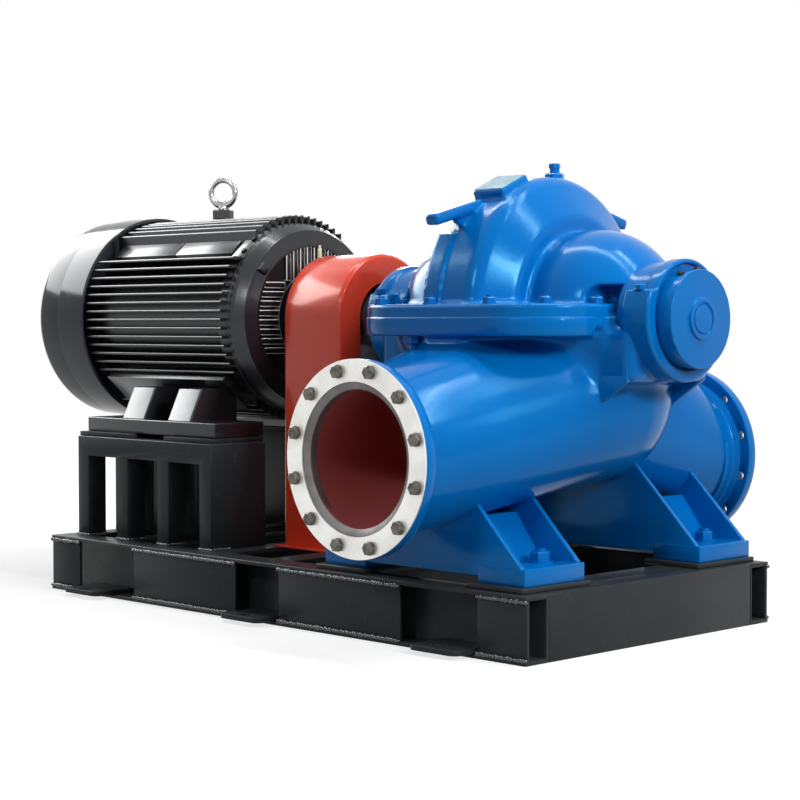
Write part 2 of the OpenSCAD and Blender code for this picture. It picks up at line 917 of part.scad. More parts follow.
module pump_foot() {
    sloped_half_l = pump_foot_half_l - pump_rib_set_back;
    pump_base_z1 = pump_foot_z + pump_base_t;
    for (end = [-1, 1])
        translate([
            pump_x + end * (pump_foot_half_l - pump_base_l / 2) - pump_base_l / 2,
            -pump_foot_y1,
            pump_foot_z
        ])
            cube([pump_base_l, pump_foot_w, pump_base_t]);
    for (y = [-pump_foot_y1, -pump_foot_y0 - pump_rib_t])
        along_y(y, pump_rib_t)
            translate([pump_x, 0])
                polygon([
                    [-sloped_half_l, pump_foot_z + pump_rib_lift],
                    [sloped_half_l, pump_foot_z + pump_rib_lift],
                    [sloped_half_l, pump_base_z1],
                    [pump_rib_top_half_l, nozzle_z],
                    [-pump_rib_top_half_l, nozzle_z],
                    [-sloped_half_l, pump_base_z1]
                ]);
    for (end = [-1, 1])
        along_y(-pump_foot_y1, pump_foot_w)
            translate([pump_x, 0])
                polygon([
                    [end * pump_web_half_l, pump_base_z1 - overlap],
                    [end * (pump_web_half_l - pump_web_lean), pump_base_z1 + pump_web_h],
                    [end * (pump_web_half_l - pump_web_lean - pump_web_t), pump_base_z1 + pump_web_h],
                    [end * (pump_web_half_l - pump_web_t), pump_base_z1 - overlap]
                ]);
}

module bearing_bracket() {
    ring_r = bearing_r + seat_clearance;
    length = bearing_end - bearing_flange_t - dome_half_l;
    gusset_z = shaft_z - sqrt((ring_r + bracket_t) ^ 2 - gusset_y ^ 2);
    intersection() {
        about_shaft(pump_x + dome_half_l)
            polygon([
                [ring_r, 0],
                [ring_r + bracket_t + bracket_flare, 0],
                [ring_r + bracket_t, length],
                [ring_r, length]
            ]);
        half_space(0, shaft_z);
    }
    for (y = [-gusset_y, gusset_y])
        along_y(y - gusset_t / 2, gusset_t)
            polygon([
                [pump_x + dome_half_l, gusset_z],
                [pump_x + dome_half_l + length, gusset_z],
                [pump_x + dome_half_l, gusset_z - bracket_flare - gusset_h]
            ]);
}

module lower_casing() {
    color("#1568b4")
        difference() {
            union() {
                intersection() {
                    union() {
                        about_shaft(pump_x) casing_section();
                        suction_body();
                        discharge_body();
                    }
                    half_space(0, shaft_z);
                }
                translate([0, 0, shaft_z - split_lower_t])
                    linear_extrude(split_lower_t)
                        split_outline();
                nozzle_bar(nozzle_flange_t - suction_face, nozzle_flange_t, suction_d / 2, suction_d / 2);
                translate([0, 0, -discharge_drop])
                    nozzle_bar(discharge_reach, nozzle_flange_t, discharge_d / 2, discharge_d / 2);
                pump_foot();
                far_side() pump_foot();
                bearing_bracket();
                drive_end() bearing_bracket();
            }
            nozzle_bar(
                suction_bore_l + suction_chamfer - suction_face,
                suction_bore_l + suction_chamfer,
                suction_bore_r,
                suction_bore_r
            );
            nozzle_bar(
                suction_chamfer - suction_face,
                suction_chamfer,
                suction_bore_r,
                suction_bore_r + suction_chamfer
            );
            nozzle_holes(nozzle_flange_t + overlap - suction_face, nozzle_flange_t + 2 * overlap, suction_pcd);
            translate([0, 0, -discharge_drop]) {
                nozzle_bar(discharge_reach, discharge_bore_l, discharge_bore_r, discharge_bore_r);
                nozzle_holes(discharge_reach + overlap, nozzle_flange_t + 2 * overlap, discharge_pcd);
            }
            gland_notch();
            drive_end() gland_notch();
        }
}

module lifting_lug() {
    translate([pump_x - lug_w / 2, -lug_reach, shaft_z + lug_rise])
        rotate([lug_droop, 0, 0])
            cube([lug_w, lug_l, lug_t]);
}

module upper_casing() {
    color("#1568b4") {
        intersection() {
            about_shaft(pump_x) casing_section();
            half_space(shaft_z, volute_r + overlap);
        }
        difference() {
            translate([0, 0, shaft_z])
                linear_extrude(split_upper_t)
                    split_outline();
            gland_notch();
            drive_end() gland_notch();
        }
        lifting_lug();
        far_side() lifting_lug();
        translate([pump_x, 0, shaft_z])
            rotate([plate_pad_lean, 0, 0])
                translate([-plate_pad_l / 2, -plate_pad_l / 2, volute_r - volute_round])
                    cube([plate_pad_l, plate_pad_l, volute_round + plate_pad_h]);
    }
}

module suction_face_ring() {
    color("#e8e8e4")
        difference() {
            nozzle_bar(-suction_face, face_ring_t, suction_d / 2, suction_d / 2);
            nozzle_bar(
                overlap - suction_face,
                face_ring_t + 2 * overlap,
                suction_bore_r + suction_chamfer,
                suction_bore_r + suction_chamfer
            );
            nozzle_holes(overlap - suction_face, face_ring_t + 2 * overlap, suction_pcd);
        }
}

module free_end_gland() {
    color("#8a7a55")
        about_shaft(pump_x + dome_end_half_l) {
            square([gland_r, gland_t]);
            square([gland_neck_r, case_half_l - dome_end_half_l]);
        }
}

module drive_end_gland() {
    drive_end() free_end_gland();
}

module free_end_bearing_housing() {
    color("#1f74c4")
        about_shaft(pump_x + case_half_l) {
            square([bearing_r, bearing_l]);
            translate([0, bearing_l - bearing_flange_t])
                square([bearing_flange_r, bearing_flange_t]);
        }
}

module drive_end_bearing_housing() {
    drive_end() free_end_bearing_housing();
}

module free_end_bearing_cover() {
    color("#1f74c4")
        about_shaft(pump_x + bearing_end) {
            square([bearing_cover_r, bearing_cover_l]);
            square([cover_boss_r, bearing_cover_l + cover_boss_l]);
        }
}

module drive_end_bearing_cover() {
    color("#1f74c4")
        drive_end()
            about_shaft(pump_x + bearing_end)
                square([bearing_cover_r, bearing_cover_l]);
}

module vent_valve() {
    color("#1f74c4")
        difference() {
            translate([pump_x, vent_y, shaft_z + vent_rise]) {
                cylinder(h = vent_hex_h, r = vent_r, $fn = 6);
                translate([0, 0, vent_hex_h])
                    cylinder(h = vent_h - vent_hex_h, r = vent_cap_r);
            }
            shaft_bar(pump_x - vent_r - overlap, 2 * (vent_r + overlap), volute_r + seat_clearance);
        }
}

near_side_beam();
far_side_beam();
pump_end_beam();
motor_end_beam();
middle_cross_beam();
motor_cross_beams();
pump_cross_beams();
near_cover_plates();
far_cover_plates();
near_anchor_tabs();
far_anchor_tabs();
pump_pads();
near_pedestal();
far_pedestal();
motor_packers();
near_motor_foot();
far_motor_foot();
motor_frame();
drive_end_shield();
motor_bearing_cap();
fan_cowl();
terminal_box();
lifting_eye();
motor_shaft();
motor_coupling_half();
pump_coupling_half();
coupling_guard();
pump_shaft();
lower_casing();
upper_casing();
suction_face_ring();
drive_end_gland();
free_end_gland();
drive_end_bearing_housing();
free_end_bearing_housing();
drive_end_bearing_cover();
free_end_bearing_cover();
vent_valve();
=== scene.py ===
import bpy
import bmesh
import json
import math
import numpy as np
import openvdb
from functools import reduce
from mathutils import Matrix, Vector


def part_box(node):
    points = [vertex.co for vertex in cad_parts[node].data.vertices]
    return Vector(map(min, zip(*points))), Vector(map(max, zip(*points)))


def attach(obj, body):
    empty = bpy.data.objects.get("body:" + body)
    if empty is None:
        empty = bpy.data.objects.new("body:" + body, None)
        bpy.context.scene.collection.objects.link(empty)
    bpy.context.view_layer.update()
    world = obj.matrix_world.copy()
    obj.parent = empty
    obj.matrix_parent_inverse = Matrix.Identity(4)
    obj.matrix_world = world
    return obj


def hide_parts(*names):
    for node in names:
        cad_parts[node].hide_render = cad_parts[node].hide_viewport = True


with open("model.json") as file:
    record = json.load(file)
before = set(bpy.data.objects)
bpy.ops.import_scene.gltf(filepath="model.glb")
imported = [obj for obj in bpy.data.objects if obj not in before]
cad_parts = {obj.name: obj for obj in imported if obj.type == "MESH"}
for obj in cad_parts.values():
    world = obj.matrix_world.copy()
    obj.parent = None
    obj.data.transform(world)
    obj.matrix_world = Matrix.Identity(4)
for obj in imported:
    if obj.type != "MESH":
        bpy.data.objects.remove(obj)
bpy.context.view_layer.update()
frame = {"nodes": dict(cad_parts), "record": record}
cadNodes = frame["nodes"]
print("frame loaded:", len(cadNodes), "nodes")

mm = 0.001

# lines and planes that the pieces are set out from, in millimetres
coverLow, coverHigh = (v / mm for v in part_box("free_end_bearing_cover"))
faceLow, faceHigh = (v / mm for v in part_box("suction_face_ring"))
frameLow, frameHigh = (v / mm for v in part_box("motor_frame"))
shaftZ = (coverLow.z + coverHigh.z) / 2
pumpX = (faceLow.x + faceHigh.x) / 2
nozzleZ = (faceLow.z + faceHigh.z) / 2
motorRear, motorFront = frameLow.x, frameHigh.x
skidTop = (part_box("near_side_beam")[1] / mm).z


class Wire:
    # a node's socket with ordinary operators
    def __init__(self, kit, socket):
        self.kit = kit
        self.socket = socket

    def maths(self, operation, first, second):
        return self.kit.add("ShaderNodeMath", {"operation": operation}, {0: first, 1: second})

    def __add__(self, other):
        return self.maths("ADD", self, other)

    def __radd__(self, other):
        return self.maths("ADD", other, self)

    def __sub__(self, other):
        return self.maths("SUBTRACT", self, other)

    def __rsub__(self, other):
        return self.maths("SUBTRACT", other, self)

    def __mul__(self, other):
        return self.maths("MULTIPLY", self, other)

    def __rmul__(self, other):
        return self.maths("MULTIPLY", other, self)

    def __truediv__(self, other):
        return self.maths("DIVIDE", self, other)

    def __pow__(self, other):
        return self.maths("POWER", self, other)


class NodeKit:
    # a node tree that takes nodes with their settings and sockets
    def __init__(self, tree):
        self.tree = tree
        self.tree.nodes.clear()

    def add(self, kind, settings=None, sockets=None, out=0):
        node = self.tree.nodes.new(kind)
        for key, value in (settings or {}).items():
            if key == "stops":
                for spot, (place, level) in zip(node.color_ramp.elements, value):
                    spot.position = place
                    spot.color = (level, level, level, 1)
            else:
                setattr(node, key, value)
        for key, value in (sockets or {}).items():
            for one in value if isinstance(value, list) else [value]:
                if isinstance(one, Wire):
                    self.tree.links.new(one.socket, node.inputs[key])
                else:
                    node.inputs[key].default_value = one
        return Wire(self, node.outputs[out]) if len(node.outputs) else node


class Finish(NodeKit):
    # one material and the nodes that make it
    def __init__(self, name):
        self.material = bpy.data.materials.new(name)
        self.material.use_nodes = True
        super().__init__(self.material.node_tree)

    def place(self):
        return self.add("ShaderNodeTexCoord", out=3)

    def noise(self, scale, detail=2.0, rough=0.5):
        sockets = {"Vector": self.place(), "Scale": scale, "Detail": detail, "Roughness": rough}
        return self.add("ShaderNodeTexNoise", {"noise_dimensions": "3D"}, sockets)

    def ramp(self, value, low, high):
        return self.add("ShaderNodeValToRGB", {"stops": ((low, 0.0), (high, 1.0))}, {0: value})

    def blend(self, factor, first, second):
        return self.add("ShaderNodeMix", {"data_type": "RGBA"}, {0: factor, 6: first, 7: second}, out=2)

    def relief(self, height, strength, distance):
        return self.add("ShaderNodeBump", None, {"Strength": strength, "Distance": distance, "Height": height})

    def close(self, sockets):
        shader = self.add("ShaderNodeBsdfPrincipled", None, sockets)
        self.add("ShaderNodeOutputMaterial", None, {"Surface": shader})
        return self.material


def tone(red, green, blue):
    return (red, green, blue, 1.0)


# what all paints share: the detail of their noises, and how far drift and spots reach
paintGrain = {
    "driftDetail": 3.0, "driftFrom": 0.3, "driftTo": 0.7, "spotDetail": 4.0, "spotRough": 0.6,
    "spotBand": 0.12, "spotDull": 0.2, "fineDetail": 2.0, "even": 0.5,
}


def paintedMetal(name, look):
    # paint over cast or rolled metal: slow colour drift, small dull spots and a grain under the coat
    f, g = Finish(name), paintGrain
    drift = f.noise(look["driftScale"], g["driftDetail"])
    spots = f.noise(look["spotScale"], g["spotDetail"], g["spotRough"])
    grain = f.noise(look["grainScale"], g["fineDetail"])
    peel = f.noise(look["peelScale"], g["fineDetail"])
    base = f.blend(f.ramp(drift, g["driftFrom"], g["driftTo"]), look["deep"], look["light"])
    marks = f.ramp(spots, look["spotFrom"], look["spotFrom"] + g["spotBand"])
    colour = f.blend(marks * look["spotMix"], base, look["spot"])
    dull = look["rough"] + (spots - g["even"]) * look["roughSpread"] + marks * look["spotMix"] * g["spotDull"]
    share = look["grainShare"]
    normal = f.relief(grain * share + peel * (1 - share), look["relief"], look["depth"])
    return f.close({
        "Base Color": colour, "Roughness": dull, "Normal": normal, "Coat Weight": look["coat"],
        "Coat Roughness": look["coatRough"], "Specular IOR Level": look["shine"], "Specular Tint": look["tint"],
    })


bluePaint = {
    "deep": tone(0.0003, 0.116, 0.4), "light": tone(0.0008, 0.146, 0.475), "spot": tone(0.01, 0.17, 0.5),
    "driftScale": 2.4, "spotScale": 46.0, "grainScale": 210.0, "peelScale": 620.0,
    "spotFrom": 0.62, "spotMix": 0.25, "rough": 0.15, "roughSpread": 0.08,
    "grainShare": 0.65, "relief": 0.28, "depth": 0.0009, "coat": 0.03, "coatRough": 0.05, "shine": 0.26,
    "tint": tone(0.14, 0.68, 1.0),
}
blackGloss = {
    "deep": tone(0.006, 0.006, 0.007), "light": tone(0.011, 0.011, 0.013), "spot": tone(0.03, 0.03, 0.032),
    "driftScale": 3.0, "spotScale": 60.0, "grainScale": 240.0, "peelScale": 700.0,
    "spotFrom": 0.62, "spotMix": 0.3, "rough": 0.3, "roughSpread": 0.14,
    "grainShare": 0.6, "relief": 0.22, "depth": 0.0007, "coat": 0.16, "coatRough": 0.14, "shine": 0.42,
    "tint": tone(0.92, 0.96, 1.0),
}
cowlBlack = dict(blackGloss, deep=tone(0.034, 0.037, 0.044), light=tone(0.044, 0.048, 0.056), rough=0.13,
                 roughSpread=0.06, relief=0.04, coat=0.0, shine=0.2)
skidBlack = {
    "deep": tone(0.02, 0.0222, 0.024), "light": tone(0.03, 0.033, 0.035), "spot": tone(0.06, 0.064, 0.067),
    "driftScale": 3.4, "spotScale": 52.0, "grainScale": 160.0, "peelScale": 480.0,
    "spotFrom": 0.6, "spotMix": 0.35, "rough": 0.36, "roughSpread": 0.2,
    "grainShare": 0.6, "relief": 0.25, "depth": 0.0008, "coat": 0.0, "coatRough": 0.3, "shine": 0.12,
    "tint": tone(0.88, 0.96, 1.0),
}
weldBlack = dict(skidBlack, rough=0.2, shine=0.7, coat=0.3, coatRough=0.1)
guardRed = {
    "deep": tone(0.74, 0.056, 0.024), "light": tone(0.8, 0.067, 0.03), "spot": tone(0.4, 0.08, 0.05),
    "driftScale": 2.8, "spotScale": 40.0, "grainScale": 190.0, "peelScale": 560.0,
    "spotFrom": 0.66, "spotMix": 0.2, "rough": 0.24, "roughSpread": 0.1,
    "grainShare": 0.4, "relief": 0.1, "depth": 0.0006, "coat": 0.4, "coatRough": 0.1, "shine": 0.24,
    "tint": tone(1.0, 0.6, 0.52),
}
boreRed = dict(guardRed, deep=tone(0.52, 0.12, 0.12), light=tone(0.6, 0.14, 0.14),
               spot=tone(0.36, 0.09, 0.08), rough=0.5, coat=0.0, relief=0.4)
pipeCream = dict(guardRed, deep=tone(0.62, 0.58, 0.42), light=tone(0.7, 0.66, 0.5),
                 spot=tone(0.5, 0.46, 0.34), tint=tone(1, 1, 1))
pumpPaint = paintedMetal("pumpBluePaint", bluePaint)
motorPaint = paintedMetal("motorBlackPaint", blackGloss)
cowlPaint = paintedMetal("cowlBlackPaint", cowlBlack)
skidPaint = paintedMetal("skidBlackPaint", skidBlack)
weldPaint = paintedMetal("weldBlackPaint", weldBlack)
guardPaint = paintedMetal("guardRedPaint", guardRed)
borePaint = paintedMetal("boreRedPrimer", boreRed)
creamPaint = paintedMetal("creamPipePaint", pipeCream)

turnedGrain = {
    "wobble": 0.4, "stainDetail": 4.0, "stainRough": 0.6, "stainFrom": 0.4, "stainTo": 0.72, "stainDull": 0.2,
    "fineScale": 480.0, "fineDull": 0.08, "ringShare": 0.6, "depth": 0.0004, "shine": 0.5, "even": 0.5,
}


def machinedMetal(name, look):
    # turned or bare metal: fine rings about the given line, with stains
    f, g = Finish(name), turnedGrain
    where = f.add("ShaderNodeMapping", None, {"Vector": f.place(), "Location": look["centre"]})
    rings = f.add("ShaderNodeTexWave", {"wave_type": "RINGS", "rings_direction": look["axis"]},
                  {"Vector": where, "Scale": look["ringScale"], "Distortion": g["wobble"]})
    stain = f.noise(look["stainScale"], g["stainDetail"], g["stainRough"])
    fine = f.noise(g["fineScale"])
    colour = f.blend(f.ramp(stain, g["stainFrom"], g["stainTo"]), look["clean"], look["stain"])
    dull = look["rough"] + (stain - g["even"]) * g["stainDull"] + (fine - g["even"]) * g["fineDull"]
    height = rings * g["ringShare"] + fine * (1 - g["ringShare"])
    return f.close({
        "Base Color": colour, "Roughness": dull, "Normal": f.relief(height, look["relief"], g["depth"]),
        "Metallic": look["metal"], "Specular IOR Level": g["shine"],
    })


onShaft = (0.0, 0.0, -shaftZ * mm)
onNozzle = (-pumpX * mm, 0.0, -nozzleZ * mm)
faceLook = {"clean": tone(0.9, 0.9, 0.87), "stain": tone(0.74, 0.73, 0.69), "rough": 0.36, "metal": 0.7,
            "centre": onNozzle, "axis": "Y", "ringScale": 60.0, "stainScale": 14.0, "relief": 0.12}
steelLook = {"clean": tone(0.3, 0.305, 0.31), "stain": tone(0.2, 0.2, 0.2), "rough": 0.2, "metal": 1.0,
             "centre": onShaft, "axis": "X", "ringScale": 90.0, "stainScale": 30.0, "relief": 0.12}
chromeLook = dict(steelLook, clean=tone(0.42, 0.42, 0.43), stain=tone(0.3, 0.3, 0.3), rough=0.15, relief=0.03)
ironLook = dict(steelLook, clean=tone(0.16, 0.16, 0.165), stain=tone(0.09, 0.085, 0.08), rough=0.45, metal=0.8)
glandLook = dict(steelLook, clean=tone(0.2, 0.19, 0.17), stain=tone(0.1, 0.09, 0.075), rough=0.5, metal=0.6)
chamferLook = dict(faceLook, clean=tone(0.2, 0.19, 0.185), stain=tone(0.11, 0.1, 0.1), metal=0.5, rough=0.5)
facePaint = machinedMetal("paleFaceCoat", faceLook)
brightSteel = machinedMetal("brightTurnedSteel", steelLook)
chromeSteel = machinedMetal("chromedSteel", chromeLook)
couplingIron = machinedMetal("couplingIron", ironLook)
glandMetal = machinedMetal("glandIron", glandLook)
chamferMetal = machinedMetal("boreChamferIron", chamferLook)

boltGrain = {
    "grimeScale": 90.0, "grimeDetail": 4.0, "grimeRough": 0.65, "grimeFrom": 0.42, "grimeTo": 0.66, "grimeDull": 0.3,
    "fineScale": 900.0, "share": 0.5, "relief": 0.2, "depth": 0.0005, "even": 0.5,
}


def boltMetal(name, clean, stain, rough, metal):
    f, g = Finish(name), boltGrain
    grime = f.noise(g["grimeScale"], g["grimeDetail"], g["grimeRough"])
    fine = f.noise(g["fineScale"])
    colour = f.blend(f.ramp(grime, g["grimeFrom"], g["grimeTo"]), clean, stain)
    dull = rough + (grime - g["even"]) * g["grimeDull"]
    normal = f.relief(grime * g["share"] + fine * g["share"], g["relief"], g["depth"])
    return f.close({"Base Color": colour, "Roughness": dull, "Normal": normal, "Metallic": metal})


bronzeBolt = boltMetal("bronzedBoltSteel", tone(0.15, 0.14, 0.12), tone(0.05, 0.045, 0.04), 0.36, 0.85)
plateMetal = boltMetal("bareTinPlate", tone(0.3, 0.44, 0.5), tone(0.2, 0.34, 0.42), 0.34, 0.5)
darkBolt = boltMetal("blackBoltSteel", tone(0.03, 0.03, 0.032), tone(0.012, 0.012, 0.012), 0.4, 0.6)

# the main coats: a finish and the slot it stands for
blueCoat = (pumpPaint, "pump_paint")
blackCoat = (motorPaint, "motor_paint")
skidCoat = (skidPaint, "skid_paint")
redCoat = (guardPaint, "guard_paint")
print("materials ready")


def smoothMesh(mesh, sharp):
    mesh.polygons.foreach_set("use_smooth", [True] * len(mesh.polygons))
    if sharp is not None:
        mesh.set_sharp_from_angle(angle=math.radians(sharp))
    mesh.update()


def meshOf(name, bm, sharp=None):
    bmesh.ops.recalc_face_normals(bm, faces=bm.faces[:])
    mesh = bpy.data.meshes.new(name)
    bm.to_mesh(mesh)
    bm.free()
    smoothMesh(mesh, sharp)
    return mesh


def linkNew(name, data):
    thing = bpy.data.objects.new(name, data)
    bpy.context.scene.collection.objects.link(thing)
    return thing


def enlist(piece, replaced=()):
    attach(piece, "root")
    if replaced:
        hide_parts(*replaced)
    return piece


def addPiece(name, mesh, coat, *replaced):
    material, slotName = coat
    mesh.materials.append(material)
    return enlist(linkNew(name, mesh), replaced)


def addShape(name, bm, sharp, coat, *replaced):
    # edges with a larger angle than sharp, in degrees, stay sharp
    return addPiece(name, meshOf(name, bm, sharp), coat, *replaced)


def join(bm, gap=0.00001):
    bmesh.ops.remove_doubles(bm, verts=bm.verts[:], dist=gap)


def turnsOf(count, phase=0):
    return [2 * math.pi * (k + phase) / count for k in range(count)]


def skin(bm, rings, around=True):
    # faces between neighbouring rings, or rows, of the same length
    for low, high in zip(rings, rings[1:]):
        count = len(low)
        for k in range(count if around else count - 1):
            n = (k + 1) % count
            bm.faces.new((low[k], high[k], high[n], low[n]))


def roundOff(points, radii, steps=5):
    # rounds the corners of an open outline, each by its own radius
    out = []
    for i, (point, radius) in enumerate(zip(points, radii)):
        p = Vector(point)
        if radius <= 0 or i in (0, len(points) - 1):
            out.append(p)
            continue
        a, b = (Vector(points[i - 1]) - p), (Vector(points[i + 1]) - p)
        angle = a.angle(b)
        reach = min(radius / math.tan(angle / 2), a.length * 0.49, b.length * 0.49)
        start, end = p + a.normalized() * reach, p + b.normalized() * reach
        for k in range(steps + 1):
            t = k / steps
            out.append(start * (1 - t) ** 2 + p * 2 * t * (1 - t) + end * t ** 2)
    return out


def lathe(bm, outline, toPoint, steps=96):
    # turns an outline of (radius, length); a radius of zero makes a pole
    turns = turnsOf(steps)
    rings = []
    for radius, length in outline:
        if radius < 1e-6:
            rings.append([bm.verts.new(toPoint(0, 0, length))])
        else:
            rings.append([bm.verts.new(toPoint(radius * math.cos(t), radius * math.sin(t), length)) for t in turns])
    for low, high in zip(rings, rings[1:]):
        if len(low) == len(high):
            if len(low) > 1:
                skin(bm, [low, high])
            continue
        for k in range(steps):
            n = (k + 1) % steps
            if len(low) == 1:
                bm.faces.new((low[0], high[k], high[n]))
            else:
                bm.faces.new((low[k], high[0], low[n]))
    return rings


def closeLoop(bm, outline, toPoint, steps=96):
    # a turned ring whose outline comes back to its start
    rings = lathe(bm, outline, toPoint, steps)
    skin(bm, [rings[-1], rings[0]])


def onShaftLine(x0, sign=1, drop=0):
    return lambda a, b, length: ((x0 + sign * length) * mm, a * mm, (shaftZ - drop + b) * mm)


def onNozzleLine(y0, sign=-1, drop=0):
    return lambda a, b, length: ((pumpX + a) * mm, (y0 + sign * length) * mm, (nozzleZ - drop + b) * mm)


def acrossY(a, b, c):
    return (a * mm, c * mm, b * mm)


def acrossX(a, b, c):
    return (c * mm, a * mm, b * mm)


def upZ(a, b, c):
    return (a * mm, b * mm, c * mm)


def prism(bm, outline, toPoint, start, end):
    low, high = ([bm.verts.new(toPoint(a, b, c)) for a, b in outline] for c in (start, end))
    bm.faces.new(low[::-1])
    bm.faces.new(high)
    skin(bm, [low, high])


def box(bm, xs, ys, zs):
    (x0, x1), (y0, y1) = sorted(xs), sorted(ys)
    prism(bm, [(x0, y0), (x1, y0), (x1, y1), (x0, y1)], upZ, *zs)


def spokes(degrees, side=1):
    # directions outwards and across, in the plane that the shaft goes through
    a = math.radians(degrees)
    return Vector((side * math.cos(a), math.sin(a))), Vector((-side * math.sin(a), math.cos(a)))


def spokeBlock(bm, directions, depths, half, start, end):
    # a block along a spoke, between two depths from the shaft's line
    out, across = directions
    near, far = depths
    corners = [out * d + across * w for d, w in ((near, -half), (far, -half), (far, half), (near, half))]
    prism(bm, [(p.x, shaftZ + p.y) for p in corners], acrossX, start, end)


def soften(bm, width, segments=2, angle=28):
    bmesh.ops.recalc_face_normals(bm, faces=bm.faces[:])
    limit = math.radians(angle)
    edges = [e for e in bm.edges if len(e.link_faces) == 2 and e.calc_face_angle(0) > limit]
    bmesh.ops.bevel(bm, geom=edges, offset=width * mm, segments=segments, profile=0.5,
                    affect="EDGES", clamp_overlap=True)


softening = {"gap": 0.00002, "flat": 0.6, "sharp": 40}


def softCopy(name, nodeNames, width, coat, segments=2):
    # CAD pieces with the small edge rounding of the real ones
    bm = bmesh.new()
    for nodeName in nodeNames:
        bm.from_mesh(cadNodes[nodeName].data)
    join(bm, softening["gap"])
    flat = math.radians(softening["flat"])
    bmesh.ops.dissolve_limit(bm, angle_limit=flat, verts=bm.verts[:], edges=bm.edges[:])
    soften(bm, width, segments)
    return addShape(name, bm, softening["sharp"], coat, *nodeNames)


# cast bodies: fields of signed distance on a grid, in millimetres
def castAxes(low, high, cell):
    sides = [np.arange(a, b + cell, cell, dtype=np.float32) for a, b in zip(low, high)]
    return sides[0][:, None, None], sides[1][None, :, None], sides[2][None, None, :]


def melt(a, b, k):
    h = np.clip(0.5 + 0.5 * (b - a) / k, 0, 1)
    return b + (a - b) * h - k * h * (1 - h)


def carve(a, b, k):
    return -melt(-a, b, k)


def within(*fields):
    return reduce(np.maximum, fields)


def tilted(a, b, degrees):
    # a place along two axes that are turned by an angle
    t = math.radians(degrees)
    return a * math.cos(t) + b * math.sin(t), b * math.cos(t) - a * math.sin(t)


def roundBox(rounding, *sides):
    # a rounded box, from the distances past its pairs of faces
    sides = [side + rounding for side in sides]
    outside = np.sqrt(sum(np.maximum(side, 0) ** 2 for side in sides))
    return outside + np.minimum(within(*sides), 0) - rounding


def blockField(x, y, z, centre, half, rounding):
    return roundBox(rounding, *(np.abs(v - c) - h for v, c, h in zip((x, y, z), centre, half)))


def slabField(plan, z, low, high, rounding):
    return roundBox(rounding, plan, np.abs(z - (low + high) / 2) - (high - low) / 2)


def outlineField(a, b, points, rounding):
    # distance to a closed outline in a plane, rounded outwards
    best = None
    inside = None
    for (x0, y0), (x1, y1) in zip(points, points[1:] + points[:1]):
        ex, ey = x1 - x0, y1 - y0
        wx, wy = a - x0, b - y0
        t = np.clip((wx * ex + wy * ey) / (ex * ex + ey * ey), 0, 1)
        d = (wx - ex * t) ** 2 + (wy - ey * t) ** 2
        best = d if best is None else np.minimum(best, d)
        way = 1 if y1 > y0 else -1
        crosses = ((y0 <= b) != (y1 <= b)) & (wx * ey * way < wy * ex * way)
        inside = crosses if inside is None else inside ^ crosses
    return np.where(inside, -1.0, 1.0) * np.sqrt(best) - rounding


def thinMesh(mesh, limit):
    # fewer triangles on the flatter parts, for a piece that would have too many
    holder = linkNew(mesh.name, mesh)
    thin = holder.modifiers.new("thin", "DECIMATE")
    thin.ratio = limit / (2 * len(mesh.polygons))
    lighter = bpy.data.meshes.new_from_object(holder.evaluated_get(bpy.context.evaluated_depsgraph_get()))
    bpy.data.objects.remove(holder)
    bpy.data.meshes.remove(mesh)
    return lighter


def castMesh(name, field, low, cell, limit=190000):
    band = 3 * cell
    grid = openvdb.FloatGrid(background=band)
    grid.copyFromArray(np.clip(field, -band, band).astype(np.float32))
    points, quads = grid.convertToQuads(0.0)
    mesh = bpy.data.meshes.new(name)
    mesh.from_pydata(((points * cell + np.array(low)) * mm).tolist(), [], quads[:, ::-1].tolist())
    bm = bmesh.new()
    bm.from_mesh(mesh)
    bmesh.ops.recalc_face_normals(bm, faces=bm.faces[:])
    bm.to_mesh(mesh)
    bm.free()
    if 2 * len(mesh.polygons) > limit:
        mesh = thinMesh(mesh, limit)
    smoothMesh(mesh, None)
    return mesh


